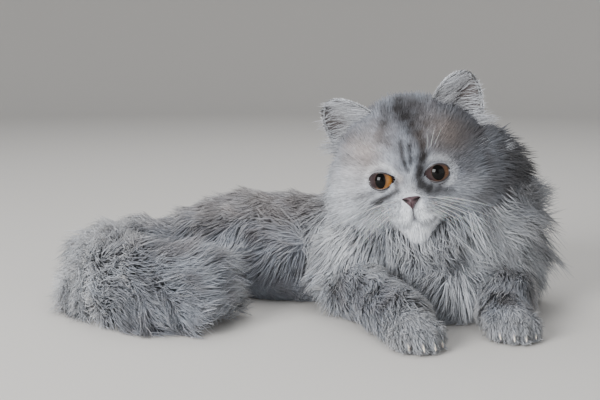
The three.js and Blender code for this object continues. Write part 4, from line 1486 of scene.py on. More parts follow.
def coat_object(name, batches, softness=1.1, hair="long"):
    """One mesh of many tufts. Each batch is (vertices, segments, roots, marks, shade).

    softness is how far the outer side of a tuft is lit as the coat that it lies in, and not by its
    own round.
    """
    points, faces, marks, along, uvs, normals, offset = [], [], [], [], [], [], 0
    for number, (made, segments, roots, colours, shade) in enumerate(batches):
        count, each = made.shape[:2]
        starts = offset + each * np.arange(count)
        faces.append((tuft_faces(segments)[None] + starts[:, None, None]).reshape(-1, 3))
        points.append(made.reshape(-1, 3))
        offset += count * each
        rings = made[:, :-1].reshape(count, segments, 3, 3)
        rounded = unit(rings - rings.mean(axis=2, keepdims=True)).reshape(count, -1, 3)
        facing = np.sum(rounded * roots.normal[:, None], axis=-1, keepdims=True)
        soft = rounded + softness * np.clip(0.5 + 0.7 * facing, 0, 1) * roots.normal[:, None]
        normals.append(np.concatenate([soft, roots.normal[:, None]], axis=1).reshape(-1, 3))
        shares = np.append(np.repeat(np.arange(segments) / segments, 3), 1.0)
        along.append(np.tile(shares, count))
        marks.append(np.repeat(np.hstack([colours, shade[:, None]]), each, axis=0))
        # The patch of a tuft is at its root's place on the unwrap of the surface that it grows on.
        corner = np.array([(0, 0), (1, 0), (0, 1)] * segments + [(1, 1)]) * 0.003
        place = np.stack([roots.angle / TAU % 1, (roots.v + number) / len(batches)], axis=1)
        uvs.append((place[:, None] * 0.997 + corner[None]).reshape(-1, 2))
    points, faces = np.vstack(points), np.vstack(faces)
    mesh = bpy.data.meshes.new(name)
    mesh.vertices.add(len(points))
    mesh.vertices.foreach_set("co", placed(points).astype(np.float32).ravel())
    mesh.loops.add(len(faces) * 3)
    mesh.loops.foreach_set("vertex_index", faces.ravel().astype(np.int32))
    mesh.polygons.add(len(faces))
    mesh.polygons.foreach_set("loop_start", (3 * np.arange(len(faces))).astype(np.int32))
    mesh.polygons.foreach_set("use_smooth", np.ones(len(faces), bool))
    mesh.update(calc_edges=True)
    mesh.normals_split_custom_set_from_vertices(unit(np.vstack(normals)))
    bake = mesh.uv_layers.new(name="OFBake")
    bake.data.foreach_set("uv", np.vstack(uvs)[faces.ravel()].astype(np.float32).ravel())
    thing = bpy.data.objects.new(name, mesh)
    bpy.context.scene.collection.objects.link(thing)
    set_attribute(thing, "markings", "FLOAT_COLOR", np.vstack(marks))
    set_attribute(thing, "along", "FLOAT", np.concatenate(along))
    mesh.materials.append(bpy.data.materials[f"{hair} tabby hair"])
    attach(thing, "root")
    return thing


NOSE_TIP = on_head((0, -45.0, NOSE_HEIGHT + 3))


def eye_centre(side):
    """The middle of an eye."""
    return on_head((side * EYE_SPACING / 2, EYE_DEPTH, EYE_HEIGHT))


def eye_axis(side):
    """The way that the opening of an eye's lids looks."""
    return head_way((EYE_TURN * side, -0.98, 0.02))


def outside_lids(points):
    """How far each place is outside the rim of the nearer eye's lids."""
    best = np.full(len(points), 99.0)
    for side in (RIGHT, LEFT):
        axis, inward, up = eye_frame(side)
        offset = points - eye_centre(side)
        across, above = offset @ inward, offset @ up
        angle = np.arctan2(above, across) % TAU
        rim = EYE_RADIUS * np.sin(np.radians(lid_rim(angle, side)))
        best = np.where(offset @ axis > -8, np.minimum(best, np.hypot(across, above) - rim), best)
    return best


def from_eyes(points):
    """How far each place is from the axis of the nearer eye."""
    best = np.full(len(points), 99.0)
    for side in (RIGHT, LEFT):
        offset = points - eye_centre(side)
        along = offset @ eye_axis(side)
        aside = np.linalg.norm(offset - along[:, None] * eye_axis(side), axis=1)
        best = np.where(along > -8, np.minimum(best, aside), best)
    return best


def shades(rng, points, size=14.0, odd=0.05):
    """Light and dark locks, and a little difference from tuft to tuft."""
    lock = 0.18 * waves(points, size, 2.0)[:, 0]
    return np.clip(0.5 + lock + rng.normal(0, odd, len(points)), 0, 1)


class CAT_OT_head_coat(bpy.types.Operator):
    """Grow the short fur of the face and the long fur of crown and cheeks"""

    bl_idname = "cat.head_coat"
    bl_label = "Coat of the head"

    def execute(self, context):
        settings = context.scene.cat_coat
        rng = np.random.default_rng(settings.seed)
        tree = skin_tree()
        fading = lambda angle, v: 1 - 0.9 * rise_between(v, 0.36, 0.56)
        mouth = np.vstack([smooth_line(line)(np.linspace(0, 1, 12)) for line in mouth_lines()])
        for name, first in (("left", -0.25), ("right", 0.25)):
            roots = Roots(
                head_surface,
                head_depth,
                int(15500 * settings.tuft_share),
                v_range=(0.01, 0.56),
                angle_range=(first * TAU, (first + 0.5) * TAU),
                weight=fading,
                skin_out=head_skin,
            )
            roots = bared(roots, tree)
            # Lids, nose leather and lips stay bare.
            eyes = outside_lids(roots.spot)
            leather = (roots.spot - on_head(LEATHER_PLACE)) @ HEAD_TURN / LEATHER_BARE
            lips = np.min(np.linalg.norm(roots.spot[:, None] - mouth[None], axis=2), axis=1)
            furred = (eyes > 0.3) & (np.linalg.norm(leather, axis=1) > 1) & (lips > 0.7)
            roots.keep(furred)
            eyes, lips = eyes[furred], lips[furred]
            # The fur is shorter near them, and longest on the chin.
            nose = np.linalg.norm(roots.spot - NOSE_TIP, axis=1)
            short = rise_between(eyes, 0, 11) * rise_between(nose, 6, 30)
            close = 0.55 + 0.45 * rise_between(lips, 0, 7)
            chin = patch_round(in_head(roots.spot), (0, -0.48, -0.88), 0.2)
            length = close * (3.0 + (1.3 * roots.depth + 2.5) * (0.12 + 0.88 * short)) + 9 * chin
            cheeks = rise_between(head_depth(roots.angle, roots.v), 10, 20)
            lie = unit(roots.spot - NOSE_TIP) - UP * (0.4 * cheeks + 0.5 * chin)[:, None]
            lie = lie + 0.16 * waves(roots.spot, 26, 5.0)
            width = 0.7 + 0.035 * length
            made = tufts(
                roots, lie, length, width, rng, segments=2, curve=8, sway=0.14, clump=4, clumping=0.3
            )
            marks = markings(shown_at(made, 2), "head")
            # Painted light: the chin's tufts are lightened against the shade under the muzzle.
            shade = np.minimum(shades(rng, roots.spot, 9, 0.13) + 0.5 * chin, 1)
            coat_object(
                f"coat_face_{name}",
                [(made, 2, roots, marks, shade)],
                softness=1.7,
                hair="short",
            )
        rising = lambda angle, v: 0.06 + rise_between(v, 0.3, 0.52)
        roots = Roots(
            head_surface,
            head_depth,
            int(16500 * settings.tuft_share),
            v_range=(0.3, 0.97),
            weight=rising,
            skin_out=head_skin,
        )
        roots = bared(roots, tree)
        cheeks = rise_between(roots.depth, 12, 22)
        lie = unit(roots.spot - NOSE_TIP) - UP * (0.5 * cheeks)[:, None]
        lie = lie + 0.28 * waves(roots.spot, 34, 6.0)
        length = 1.3 * roots.depth + 4
        wide = 1000 * settings.tuft_width * (0.7 + 0.3 * cheeks)
        made = tufts(roots, lie, length, wide, rng, segments=2, sag=0.25, curve=16, clump=8)
        marks = markings(shown_at(made, 2), "head")
        batch = (made, 2, roots, marks, shades(rng, roots.spot, 11, 0.12))
        coat_object("coat_crown", [batch], hair="short")
        return {"FINISHED"}


class Growth:
    """What the whole coat of the body shares: the settings, the random draws and the skin."""

    def __init__(self, settings):
        self.share = settings.tuft_share
        self.wide = 1000 * settings.tuft_width
        self.rng = np.random.default_rng(settings.seed + 1)
        self.tree = skin_tree()

    def roots(self, surface, coat, count, lowest=1.5, hidden=2.0, **where):
        """Roots on what shows of a surface, above the floor."""
        roots = Roots(surface, coat, int(count * self.share), **where)
        roots = bared(roots, self.tree, hidden)
        return roots.keep(roots.spot[:, 2] > lowest)

    def batch(self, roots, lie, region="body", segments=3, **how):
        """Tufts with their markings and shades, as coat_object takes them."""
        made = tufts(roots, lie, rng=self.rng, segments=segments, **how)
        marks = markings(shown_at(made, segments), region)
        return made, segments, roots, marks, shades(self.rng, roots.spot)


def grow_ruff(growth):
    """The ruff hangs from the throat and the sides of the neck."""
    roots = growth.roots(neck, neck_coat, 20000, lowest=0, v_range=(0.05, 0.95))
    lie = -0.7 * roots.along - 0.6 * UP + 0.3 * roots.round * np.cos(roots.angle)[:, None]
    lie = unit(lie) + 0.62 * waves(roots.spot, 34, 1.0)
    batch = growth.batch(
        roots,
        lie,
        "ruff",
        length=1.25 * roots.depth + 6,
        width=0.8 * growth.wide,
        sag=0.3,
        sway=0.3,
        clump=14,
        clumping=0.26,
        curl=9,
    )
    coat_object("coat_ruff", [batch], softness=2.6)


def grow_trunk(growth):
    """The breast's hair hangs down, and the flanks' runs back."""
    for name, v_range, count, segments, slot in (
        ("chest", (0.01, 0.4), 27000, 3, "coat_pale"),
        ("torso", (0.38, 0.66), 14500, 2, "coat_dark"),
        ("hips", (0.64, 0.99), 16000, 2, "coat_dark"),
    ):
        roots = growth.roots(trunk, trunk_coat, count, v_range=v_range, skin_out=trunk_skin)
        back = rise_between(roots.v, 0.2, 0.42)[:, None]
        front = -UP + 0.15 * roots.along - 0.35 * roots.round * np.cos(roots.angle)[:, None]
        over = roots.along - 0.8 * roots.round * np.cos(roots.angle)[:, None] - 0.1 * UP
        wavy = (0.6 - 0.28 * back) * waves(roots.spot, 36, 3.0)
        batch = growth.batch(
            roots,
            unit(front) * (1 - back) + unit(over) * back + wavy,
            segments=segments,
            length=roots.depth * (1.4 + 0.7 * back[:, 0]),
            width=0.9 * growth.wide,
            sag=0.25,
            sway=0.28,
            clump=13,
            clumping=0.28,
            curl=8 if name == "chest" else 5,
        )
        coat_object(f"coat_{name}", [batch], softness=2.2)


def grow_tail(growth):
    """The plume stands out all round the tail and bends towards its end."""
    for name, v_range, count in (("base", (0.0, 0.5), 9500), ("end", (0.48, 1.0), 12800)):
        roots = growth.roots(tail, tail_coat, count, v_range=v_range, skin_out=tail_skin)
        batch = growth.batch(
            roots,
            roots.along + 0.35 * waves(roots.spot, 40, 4.0),
            length=roots.depth * 1.25 + 5,
            width=0.85 * growth.wide,
            sag=0.2,
            sway=0.26,
            clump=13,
            clumping=0.25,
            curl=6,
        )
        coat_object(f"coat_tail_{name}", [batch], softness=1.8)


def grow_limbs(growth):
    """Long hair on the upper arms and thighs, and shorter on the forearms."""
    long, short = [], []
    locks = {"segments": 2, "width": 0.85 * growth.wide, "clump": 11, "clumping": 0.42}
    for side in (RIGHT, LEFT):
        roots = growth.roots(upper_arm[side], even(UPPER_ARM_COAT), 6800)
        lie = roots.along - 0.5 * UP + 0.3 * waves(roots.spot, 36, 8.0)
        long.append(growth.batch(roots, lie, length=34, sag=0.3, curl=5, **locks))
        roots = growth.roots(thigh[side], even(THIGH_COAT), 4400)
        lie = -0.5 * roots.along - 0.8 * UP + 0.3 * waves(roots.spot, 36, 9.0)
        long.append(growth.batch(roots, lie, length=27, sag=0.2, curl=4, **locks))
    coat_object("coat_limbs", long, softness=1.5)
    locks = {"segments": 2, "width": 1.15, "clump": 8, "clumping": 0.35}
    for side in (RIGHT, LEFT):
        roots = growth.roots(forearm[side], even(FOREARM_COAT), 6000, lowest=1.2)
        lie = roots.along - 0.3 * UP + 0.25 * waves(roots.spot, 24, 7.0)
        short.append(growth.batch(roots, lie, length=24, sag=0.15, curl=3, **locks))
    coat_object("coat_forearms", short, softness=1.6)


def grow_paws(growth):
    """Close fur on the pad and the four toes of each foot."""
    batches = []
    locks = {"segments": 2, "width": 0.9, "curve": 8, "clump": 5, "clumping": 0.45, "loft": 22}
    for side in (RIGHT, LEFT):
        for (heel, toes), width, count in (
            (ARMS[side]["paw"], PAW_WIDTH, 5000),
            (LEGS[side]["foot"], FOOT_WIDTH, 1800),
        ):
            forward = unit(np.array(toes, float) - np.array(heel, float))
            for number, form in enumerate(paw_forms(heel, toes, width)):
                portion = 0.36 if number == 0 else 0.16
                roots = growth.roots(
                    form,
                    even(PAW_COAT),
                    count * portion,
                    lowest=1.0,
                    hidden=1.2,
                    skin_out=even(0),
                )
                lie = forward - 0.35 * UP + 0.25 * roots.normal
                batches.append(growth.batch(roots, lie, length=9.5, **locks))
    coat_object("coat_paws", batches, softness=1.5)


class CAT_OT_body_coat(bpy.types.Operator):
    """Grow the long coat of the neck, trunk, legs and tail"""

    bl_idname = "cat.body_coat"
    bl_label = "Coat of the body"

    def execute(self, context):
        growth = Growth(context.scene.cat_coat)
        grow_ruff(growth)
        grow_trunk(growth)
        grow_tail(growth)
        grow_limbs(growth)
        grow_paws(growth)
        return {"FINISHED"}


# Ears, eyes, nose, mouth, whiskers and claws


class CAT_OT_ear_coat(bpy.types.Operator):
    """Grow short fur on the backs of the ears, fringes on their rims and long hair in their cups"""

    bl_idname = "cat.ear_coat"
    bl_label = "Coat of the ears"

    def execute(self, context):
        settings = context.scene.cat_coat
        rng = np.random.default_rng(settings.seed + 2)
        share = settings.tuft_share
        skin = even(0.3)
        front, back = (TAU / 2, TAU), (0, TAU / 2)
        batches = []

        def grow(roots, lie, length, width, marks, segments=2, **how):
            made = tufts(roots, lie, length, width, rng, segments=segments, **how)
            batches.append((made, segments, roots, marks, shades(rng, roots.spot)))

        for side in (RIGHT, LEFT):
            shell = ear_surface(side)
            base, tip = on_head(EARS[side]["base"]), on_head(EARS[side]["tip"])
            upward = unit(tip - base)
            outward = head_way((side, -0.1, 0.25))
            forward = head_way((0, -1, 0))
            # Backs: short fur that runs up to the tip.
            roots = Roots(shell, even(4), int(2300 * share), (0.2, 0.99), back, skin_out=skin)
            lie = np.tile(upward + 0.25 * outward, (len(roots.spot), 1))
            marks = alike(EAR_BACK_MARKS, roots.spot)
            grow(roots, lie, 5.5, 0.9, marks, loft=14, curve=8, clumping=0.3, clump=4)
            # The cup's own fur, dark and fine with a pale edge, which lies outwards over it.
            roots = Roots(shell, even(3), int(2600 * share), (0.25, 0.99), front, skin_out=skin)
            lie = np.tile(0.8 * outward + 0.7 * upward, (len(roots.spot), 1))
            near_rim = np.maximum(np.abs(np.cos(roots.angle)), rise_between(roots.v, 0.86, 0.99))
            rim = rise_between(near_rim, 0.88, 0.98)
            marks = np.stack([0.85 * (1 - rim), 0.9 * rim, 0.25 * (1 - rim)], axis=1)
            grow(roots, lie, 5, 0.7, marks, loft=10, curve=6, clumping=0.4, clump=4)
            # The rim's fringe stands out past its edge.
            for edge in (0, TAU / 2):
                around = (edge - 0.16, edge + 0.16)
                roots = Roots(shell, even(3), int(600 * share), (0.3, 0.99), around, skin_out=skin)
                lie = 0.9 * upward + unit(roots.spot - (base + 0.45 * (tip - base)))
                marks = alike(EAR_RIM_MARKS, roots.spot)
                grow(roots, lie, 2.8, 0.8, marks, loft=18, curve=6, clumping=0.3, clump=3)
            # Long hair springs from the inner edge and the foot of the cup and fans outwards, and
            # shorter hair from the whole cup.
            inner = (0.85 * TAU, TAU)
            if side * EARS[side]["across"][0] > 0:
                inner = (TAU / 2, 1.3 * TAU / 2)
            for around, v_range, count, long in (
                (inner, (0.32, 0.86), 280, 24),
                (front, (0.3, 0.46), 230, 27),
                (front, (0.4, 0.9), 160, 14),
            ):
                roots = Roots(shell, even(10), int(count * share), v_range, around, skin_out=skin)
                fan = 0.35 * upward * rng.random((len(roots.spot), 1))
                lie = outward + fan + 0.2 * waves(roots.spot, 18, 10.0) - 0.15 * UP
                grow(
                    roots,
                    lie + 0.15 * forward,
                    long,
                    0.5,
                    alike(EAR_STRAND_MARKS, roots.spot),
                    segments=4,
                    loft=16,
                    curve=18,
                    sway=0.2,
                    sag=0.3,
                    clumping=0.55,
                    clump=7,
                )
        coat_object("coat_ears", batches, softness=0.8, hair="short")
        return {"FINISHED"}


def loop_mesh(surface, around, profile):
    """Vertices and faces of a closed ring. surface gives the place at an angle and profile step."""
    angle = TAU * np.arange(around) / around
    points = np.stack([surface(angle, step) for step in range(profile)], axis=1).reshape(-1, 3)
    faces = []
    for i in range(around):
        for j in range(profile):
            a, b = i * profile + j, i * profile + (j + 1) % profile
            c, d = (i + 1) % around * profile + j, (i + 1) % around * profile + (j + 1) % profile
            faces.append((a, c, d, b))
    return points, faces


def eye_frame(side):
    """An eye's own directions: out of the head, towards the nose, and up."""
    axis = eye_axis(side)
    inward = across_to(head_way((-side, 0, 0)), axis)
    up = np.cross(axis, inward)
    up = up if up @ UP > 0 else -up
    # The outer corner stands a little higher than the inner one.
    level, raised = math.cos(math.radians(EYE_TILT)), math.sin(math.radians(EYE_TILT))
    return axis, inward * level - up * raised, up * level + inward * raised


def lid_rim(angle, side):
    """How far the lids' rim is from the eye's axis, in degrees. Angle 0 is the inner corner."""
    wide = OPENING[0] + INNER_CORNER[side] * bell(np.minimum(angle, TAU - angle), 0.32)
    radius = 1 / np.hypot(np.cos(angle) / wide, np.sin(angle) / OPENING[1])
    # The upper lid lies flatter than the lower one.
    radius = radius * (1 - 0.08 * bell(angle - math.pi / 2, 0.7))
    return np.degrees(np.arcsin(np.minimum(radius / EYE_RADIUS, 0.985)))


def eyeball(side, name):
    """A ball with a bulging cornea, and the numbers that its material reads."""
    axis, _, up = eye_frame(side)
    centre = eye_centre(side)
    gaze = unit(unit(np.array(GAZE_AT[side]) - centre) * 0.6 + axis * 0.4)
    sphere = ball(centre, (EYE_RADIUS,) * 3, gaze)

    def bulging(angle, v, out):
        return sphere(angle, v, out + CORNEA_BULGE * bell(np.asarray(v, float) * 180, 30))

    points, faces = grid_mesh(bulging, 96, 80)
    eye = mesh_object(name, points, faces)
    way = unit(points - centre)
    turned = np.degrees(np.arccos(np.clip(way @ gaze, -1, 1)))
    aside = across_to(way, gaze)
    # The share from the middle of the pupil (0) to its edge, the iris's edge and the back (1).
    tall = aside @ across_to(up, gaze)
    broad = np.sqrt(np.maximum(0, 1 - tall**2))
    pupil = 1 / np.hypot(broad / PUPIL[side][0], tall / PUPIL[side][1])
    iris = np.clip((turned - pupil) / (IRIS_TURN - pupil), 0, 1)
    white = np.maximum(turned - IRIS_TURN, 0) / (90 - IRIS_TURN)
    banded = 0.35 * np.minimum(turned / pupil, 1) + 0.35 * iris + 0.3 * white
    set_attribute(eye, "from_gaze", "FLOAT", banded)
    spokes = (aside * (1 + 0.15 * turned[:, None] / 90)).astype(np.float32)
    attribute = eye.data.attributes.new("spokes", "FLOAT_VECTOR", "POINT")
    attribute.data.foreach_set("vector", spokes.ravel())
    # Painted light: the iris is painted bright on its side away from the light, and dim on the rest.
    painted_lit_side = rise_between(0.5 + 0.5 * (aside @ unit((0.9, 0, -0.45))), 0.35, 0.95)
    set_attribute(eye, "painted_iris_light", "FLOAT", painted_lit_side * EYE_PAINTED_LIGHT[side])
    eye.data.materials.append(bpy.data.materials["wet copper iris"])
    return eye


def eye_lids(side, name):
    """A ring that lies on the ball, with a bare edge and a furred outer slope."""
    axis, inward, up = eye_frame(side)
    centre = eye_centre(side)

    def lid(angle, step):
        past, above = LID_PROFILE[step]
        turn = np.radians(lid_rim(angle, side) + past)[:, None]
        aside = inward * np.cos(angle)[:, None] + up * np.sin(angle)[:, None]
        return centre + (axis * np.cos(turn) + aside * np.sin(turn)) * (EYE_RADIUS + above)

    points, faces = loop_mesh(lid, 72, len(LID_PROFILE))
    lids = mesh_object(name, points, faces)
    set_attribute(lids, "hollow_and_painted_shade", "FLOAT", np.zeros(len(points)))
    store_marks(lids, markings(points, "head"))
    lids.data.materials.append(bpy.data.materials["dark lid and lip skin"])
    lids.data.materials.append(bpy.data.materials["short tabby hair"])
    furred = [int(number % len(LID_PROFILE) in LID_FURRED) for number in range(len(faces))]
    lids.data.polygons.foreach_set("material_index", furred)
    return lids


class CAT_OT_eyes(bpy.types.Operator):
    """Set both eyes and their lids"""

    bl_idname = "cat.eyes"
    bl_label = "Eyes"

    def execute(self, context):
        for side, name in ((RIGHT, "right"), (LEFT, "left")):
            eye = eyeball(side, f"eyeball_{name}")
            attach(eye, "root")
            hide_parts(f"eye_{name}")
            lids = eye_lids(side, f"lids_{name}")
            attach(lids, "root")
        return {"FINISHED"}


class CAT_OT_nose(bpy.types.Operator):
    """Shape the nose leather with its nostrils, and the dark line of the mouth"""

    bl_idname = "cat.nose"
    bl_label = "Nose and mouth"

    def execute(self, context):
        # A broad top that narrows to the parting of the lip, with a comma-shaped nostril each side.
        surface = ball((0, 0, 0), (1, 1, 1))
        points, faces = grid_mesh(surface, 96, 64)
        x, y, z = points[:, 0], points[:, 1], points[:, 2]
        narrow = 1 - 0.8 * rise_between(-z, -0.6, 1.15)
        high = np.where(z > 0, LEATHER_ABOVE, LEATHER_BELOW)
        shaped = [LEATHER_WIDE * x * narrow, LEATHER_DEEP * y, high * z + x**2]
        shaped = np.stack(shaped, axis=1)
        front = rise_between(-y, 0.1, 0.4)
        hollow_and_painted_shade = np.zeros(len(points))
        for side in (1, -1):
            place = np.stack([x - side * 0.6, (z - 0.25) * 1.2], axis=1)
            slit = np.stack([x - side * (0.78 + 0.1 * z), (z - 0.2) * 0.9], axis=1)
            hollow_and_painted_shade = np.maximum(hollow_and_painted_shade, bell(np.linalg.norm(place, axis=1), 0.24))
            hollow_and_painted_shade = np.maximum(hollow_and_painted_shade, 0.95 * bell(np.linalg.norm(slit * (1, 0.55), axis=1), 0.14))
        hollow_and_painted_shade = hollow_and_painted_shade * front
        groove_and_painted_shade = bell(x, 0.05) * rise_between(-z, -0.1, 0.3) * front
        shaped[:, 1] += 2.6 * hollow_and_painted_shade + 0.6 * groove_and_painted_shade
        points = on_head(shaped + LEATHER_PLACE)
        nose = mesh_object("nose_leather", points, faces)
        # Painted shade: the nostrils and the groove are darkened in colour as well as dented.
        set_attribute(nose, "hollow_and_painted_shade", "FLOAT", np.clip(1.1 * hollow_and_painted_shade + 0.5 * groove_and_painted_shade, 0, 1))
        nose.data.materials.append(bpy.data.materials["nose leather"])
        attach(nose, "root")
        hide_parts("nose")
        pieces = []
        for number, line in enumerate(mouth_lines()):
            surface = limb(line, [(LIP_RADIUS, LIP_RADIUS)] * len(line), (LIP_RADIUS, LIP_RADIUS))
            pieces.append(mesh_object(f"lip_{number}", *grid_mesh(surface, 8, 30)))
        lips = join(pieces, "lips")
        set_attribute(lips, "hollow_and_painted_shade", "FLOAT", np.zeros(len(lips.data.vertices)))
        lips.data.materials.append(bpy.data.materials["dark lid and lip skin"])
        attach(lips, "root")
        return {"FINISHED"}


def on_face(x, z, out):
    """A place out from the face, in the direction with this x and z."""
    to = np.array([[x, -math.sqrt(max(0, 1 - x * x - z * z)), z]])
    return on_head(head_point(to, out))[0]


def mouth_lines():
    """The parting of the upper lip, and the line of the mouth to each side."""
    lines = [[on_face(x, z, LIP_OUT) for x, z in LIP_PARTING]]
    for side in (1, -1):
        lines.append([on_face(x * side, z, LIP_OUT) for x, z in LIP_LINE])
    return lines


class CAT_OT_whiskers(bpy.types.Operator):
    """Set the whiskers of lips and brows"""

    bl_idname = "cat.whiskers"
    bl_label = "Whiskers"

    def execute(self, context):
        rng = np.random.default_rng(context.scene.cat_coat.seed + 3)
        starts, ways, lengths = [], [], []
        for side in (1, -1):
            for number, (x, z) in enumerate(whisker_roots(side)):
                row, column = divmod(number, 4)
                starts.append(on_face(x, z, 0.5))
                ways.append((side * 1.0, -0.42 + 0.1 * column, -0.18 - 0.17 * row))
                lengths.append(34 + 9 * column - 4 * row + 6 * rng.random())
            for number in range(3):
                x, z = side * (0.4 + 0.06 * number), 0.22 + 0.03 * number
                starts.append(on_face(x, z, 0.5))
                ways.append((side * (0.25 + 0.12 * number), -0.8, 0.75))
                lengths.append(22 + 6 * rng.random())
        starts, lengths = np.array(starts), np.array(lengths)
        forward = head_way(np.array(ways) + rng.normal(0, 0.05, (len(ways), 3)))
        path, spot = [starts], starts
        for _ in range(WHISKER_STEPS):
            spot = spot + forward * (lengths / WHISKER_STEPS)[:, None]
            path.append(spot)
            forward = unit(forward - 0.045 * UP + 0.06 * head_way((0, 1, 0)))
        path = np.stack(path, axis=1)
        normal = np.tile(head_way((0, -1, 0.1)), (len(path), 1))
        made = sections(path, normal, np.full(len(path), WHISKER_WIDTH), 0.8, rng)
        starts = made.shape[1] * np.arange(len(made))
        faces = (tuft_faces(WHISKER_STEPS)[None] + starts[:, None, None]).reshape(-1, 3)
        whiskers = mesh_object("whiskers", made.reshape(-1, 3), faces.tolist())
        along = np.append(np.repeat(np.arange(WHISKER_STEPS) / WHISKER_STEPS, 3), 1.0)
        set_attribute(whiskers, "along", "FLOAT", np.tile(along, len(made)))
        whiskers.data.materials.append(bpy.data.materials["whisker"])
        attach(whiskers, "root")
        return {"FINISHED"}


class CAT_OT_claws(bpy.types.Operator):
    """Set the claws of the forepaws"""

    bl_idname = "cat.claws"
    bl_label = "Claws"

    def execute(self, context):
        for side, name in ((RIGHT, "right"), (LEFT, "left")):
            heel, toes = (np.array(place, float) for place in ARMS[side]["paw"])
            length = np.linalg.norm(toes - heel)
            forward = unit((toes - heel) * (1, 1, 0))
            across = np.cross(forward, UP)
            pieces = []
            for number, place in enumerate(TOE_PLACES):
                ahead = toe_share(place) * length + 8.0
                root = heel + unit(toes - heel) * ahead + across * place * PAW_WIDTH / 4
                root[2] = TOE_HEIGHT

                def claw(angle, v, out):
                    v = np.asarray(v, float)
                    bend = CLAW_BEND * v
                    radius = CLAW_RADIUS * np.sqrt(np.sin(math.pi * np.minimum(1, 0.15 + 0.87 * v)))
                    radius = np.where(v > 0.999, 0, radius * np.minimum(1, 8 * bend))
                    return (
                        root
                        + forward * (CLAW_LENGTH * np.sin(bend))[..., None]
                        - UP * (0.8 * CLAW_LENGTH * (1 - np.cos(bend)))[..., None]
                        + across * (0.55 * radius * np.cos(angle))[..., None]
                        + UP * (radius * np.sin(angle))[..., None]
                    )

                points, faces = grid_mesh(claw, 14, 16)
                piece = mesh_object(f"claw_{number}", points, faces)
                along = np.linalg.norm(points - root, axis=1) / CLAW_LENGTH
                set_attribute(piece, "along", "FLOAT", along)
                pieces.append(piece)
            claws = join(pieces, f"claws_{name}")
            claws.data.materials.append(bpy.data.materials["claw horn"])
            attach(claws, "root")
        return {"FINISHED"}


# Stage


def paper_floor(colours):
    """A round sheet that curves up at its edge, so that no horizon shows."""
    curve = np.linspace(0, math.pi / 2, 13)
    rise = [(FLOOR_RADIUS + math.sin(t), 1 - math.cos(t)) for t in curve]
    rings = [(0.4, 0.0), (1.2, 0.0), *rise]
    turns = TAU * np.arange(FLOOR_SIDES) / FLOOR_SIDES
    points = [(r * math.cos(t), r * math.sin(t), z) for r, z in rings for t in turns]
    faces = [tuple(range(FLOOR_SIDES))]
    for ring in range(len(rings) - 1):
        for column in range(FLOOR_SIDES):
            a = ring * FLOOR_SIDES + column
            b = ring * FLOOR_SIDES + (column + 1) % FLOOR_SIDES
            faces.append((a, a + FLOOR_SIDES, b + FLOOR_SIDES, b))
    mesh = bpy.data.meshes.new("floor")
    mesh.from_pydata(points, [], faces)
    floor = bpy.data.objects.new("floor", mesh)
    bpy.context.scene.collection.objects.link(floor)
    pick(floor)
    bpy.ops.object.shade_smooth()
    material, tree, output = new_material("matt paper floor")
    place = add_node(tree, "ShaderNodeTexCoord").outputs["Object"]
    # Fibres of seamless paper, drawn at 1.5 mm so that they show at all.
    fibres = add_node(
        tree, "ShaderNodeTexNoise", {"Vector": place, "Scale": 1 / 0.0015, "Detail": 2.0}
    ).outputs[0]
    bump = add_node(
        tree, "ShaderNodeBump", {"Height": fibres, "Distance": 0.0001, "Strength": 0.15}
    ).outputs[0]
    shader = add_node(
        tree,
        "ShaderNodeBsdfPrincipled",
        {"Base Color": opaque(colours.floor), "Roughness": 0.85, "Normal": bump},
    )
    tree.links.new(shader.outputs[0], output.inputs[0])
    floor.data.materials.append(material)
    return floor


class CAT_OT_stage(bpy.types.Operator):
    """Lay the floor, light it softly and set the camera"""

    bl_idname = "cat.stage"
    bl_label = "Studio"

    def execute(self, context):
        paper_floor(context.scene.cat_colours)
        shift = Vector(placed((0, 0, 0)))
        for name, place, size, power in LIGHTS:
            bpy.ops.object.light_add(type="AREA", location=Vector(place) + shift)
            light = context.view_layer.objects.active
            light.name = f"{name} light"
            light.data.size = size
            light.data.energy = power
            aim = shift + Vector(LIGHTS_AIM) - light.location
            light.rotation_euler = aim.to_track_quat("-Z", "Y").to_euler()
        world = context.scene.world or bpy.data.worlds.new("studio")
        context.scene.world = world
        world.use_nodes = True
        backdrop = world.node_tree.nodes.get("Background")
        backdrop.inputs[0].default_value = opaque(linear("#d4d6da"))
        backdrop.inputs[1].default_value = BACKDROP_LIGHT
        bpy.ops.object.camera_add(
            location=placed(CAMERA_PLACE), rotation=(math.radians(90 - CAMERA_DOWN), 0, 0)
        )
        camera = context.view_layer.objects.active
        camera.data.lens = CAMERA_LENS
        camera.data.sensor_width = CAMERA_SENSOR
        context.scene.camera = camera
        return {"FINISHED"}


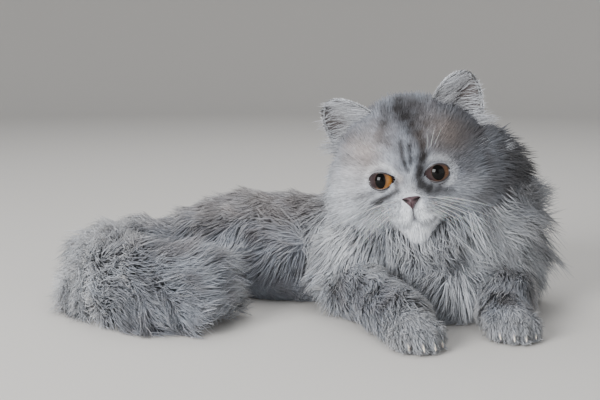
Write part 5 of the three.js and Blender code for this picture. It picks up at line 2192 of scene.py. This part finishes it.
class CAT_OT_materials(bpy.types.Operator):
    """Mix the materials of coat, skin, eyes, nose and claws"""

    bl_idname = "cat.materials"
    bl_label = "Materials"

    def execute(self, context):
        colours = context.scene.cat_colours
        silver_tabby_coat(colours, "short tabby hair", 0.0, 1.42)
        silver_tabby_coat(colours, "long tabby hair", 0.5, 1.55)
        wet_copper_iris(colours)
        bare_skin("nose leather", list(colours.nose), 0.0009, 0.5, 0.25)
        bare_skin("dark lid and lip skin", list(colours.rim), 0.0006, 0.4, 0.4)
        horn("claw horn", list(colours.claw), 0.35)
        horn("whisker", linear("#dcdedf"), 0.35)
        return {"FINISHED"}


class CAT_PT_panel(bpy.types.Panel):
    """The sidebar's list of what can be built"""

    bl_idname = "CAT_PT_panel"
    bl_label = "Long-haired cat"
    bl_space_type = "VIEW_3D"
    bl_region_type = "UI"
    bl_category = "Cat"

    def draw(self, context):
        for maker in MAKERS:
            self.layout.operator(maker.bl_idname)
        for group in (context.scene.cat_coat, context.scene.cat_colours):
            for name in group.bl_rna.properties.keys():
                if name not in ("rna_type", "name"):
                    self.layout.prop(group, name)


MAKERS = (
    CAT_OT_stage,
    CAT_OT_materials,
    CAT_OT_skin,
    CAT_OT_eyes,
    CAT_OT_nose,
    CAT_OT_whiskers,
    CAT_OT_claws,
    CAT_OT_head_coat,
    CAT_OT_ear_coat,
    CAT_OT_body_coat,
)
CLASSES = (CatCoatSettings, CatColours, *MAKERS, CAT_PT_panel)


def register():
    for kind in CLASSES:
        bpy.utils.register_class(kind)
    bpy.types.Scene.cat_coat = PointerProperty(type=CatCoatSettings)
    bpy.types.Scene.cat_colours = PointerProperty(type=CatColours)


def unregister():
    del bpy.types.Scene.cat_coat
    del bpy.types.Scene.cat_colours
    for kind in reversed(CLASSES):
        bpy.utils.unregister_class(kind)


def main():
    register()
    bpy.ops.cat.stage()
    bpy.ops.cat.materials()
    bpy.ops.cat.skin()
    bpy.ops.cat.eyes()
    bpy.ops.cat.nose()
    bpy.ops.cat.whiskers()
    bpy.ops.cat.claws()
    bpy.ops.cat.head_coat()
    bpy.ops.cat.ear_coat()
    bpy.ops.cat.body_coat()


if __name__ == "__main__":
    main()
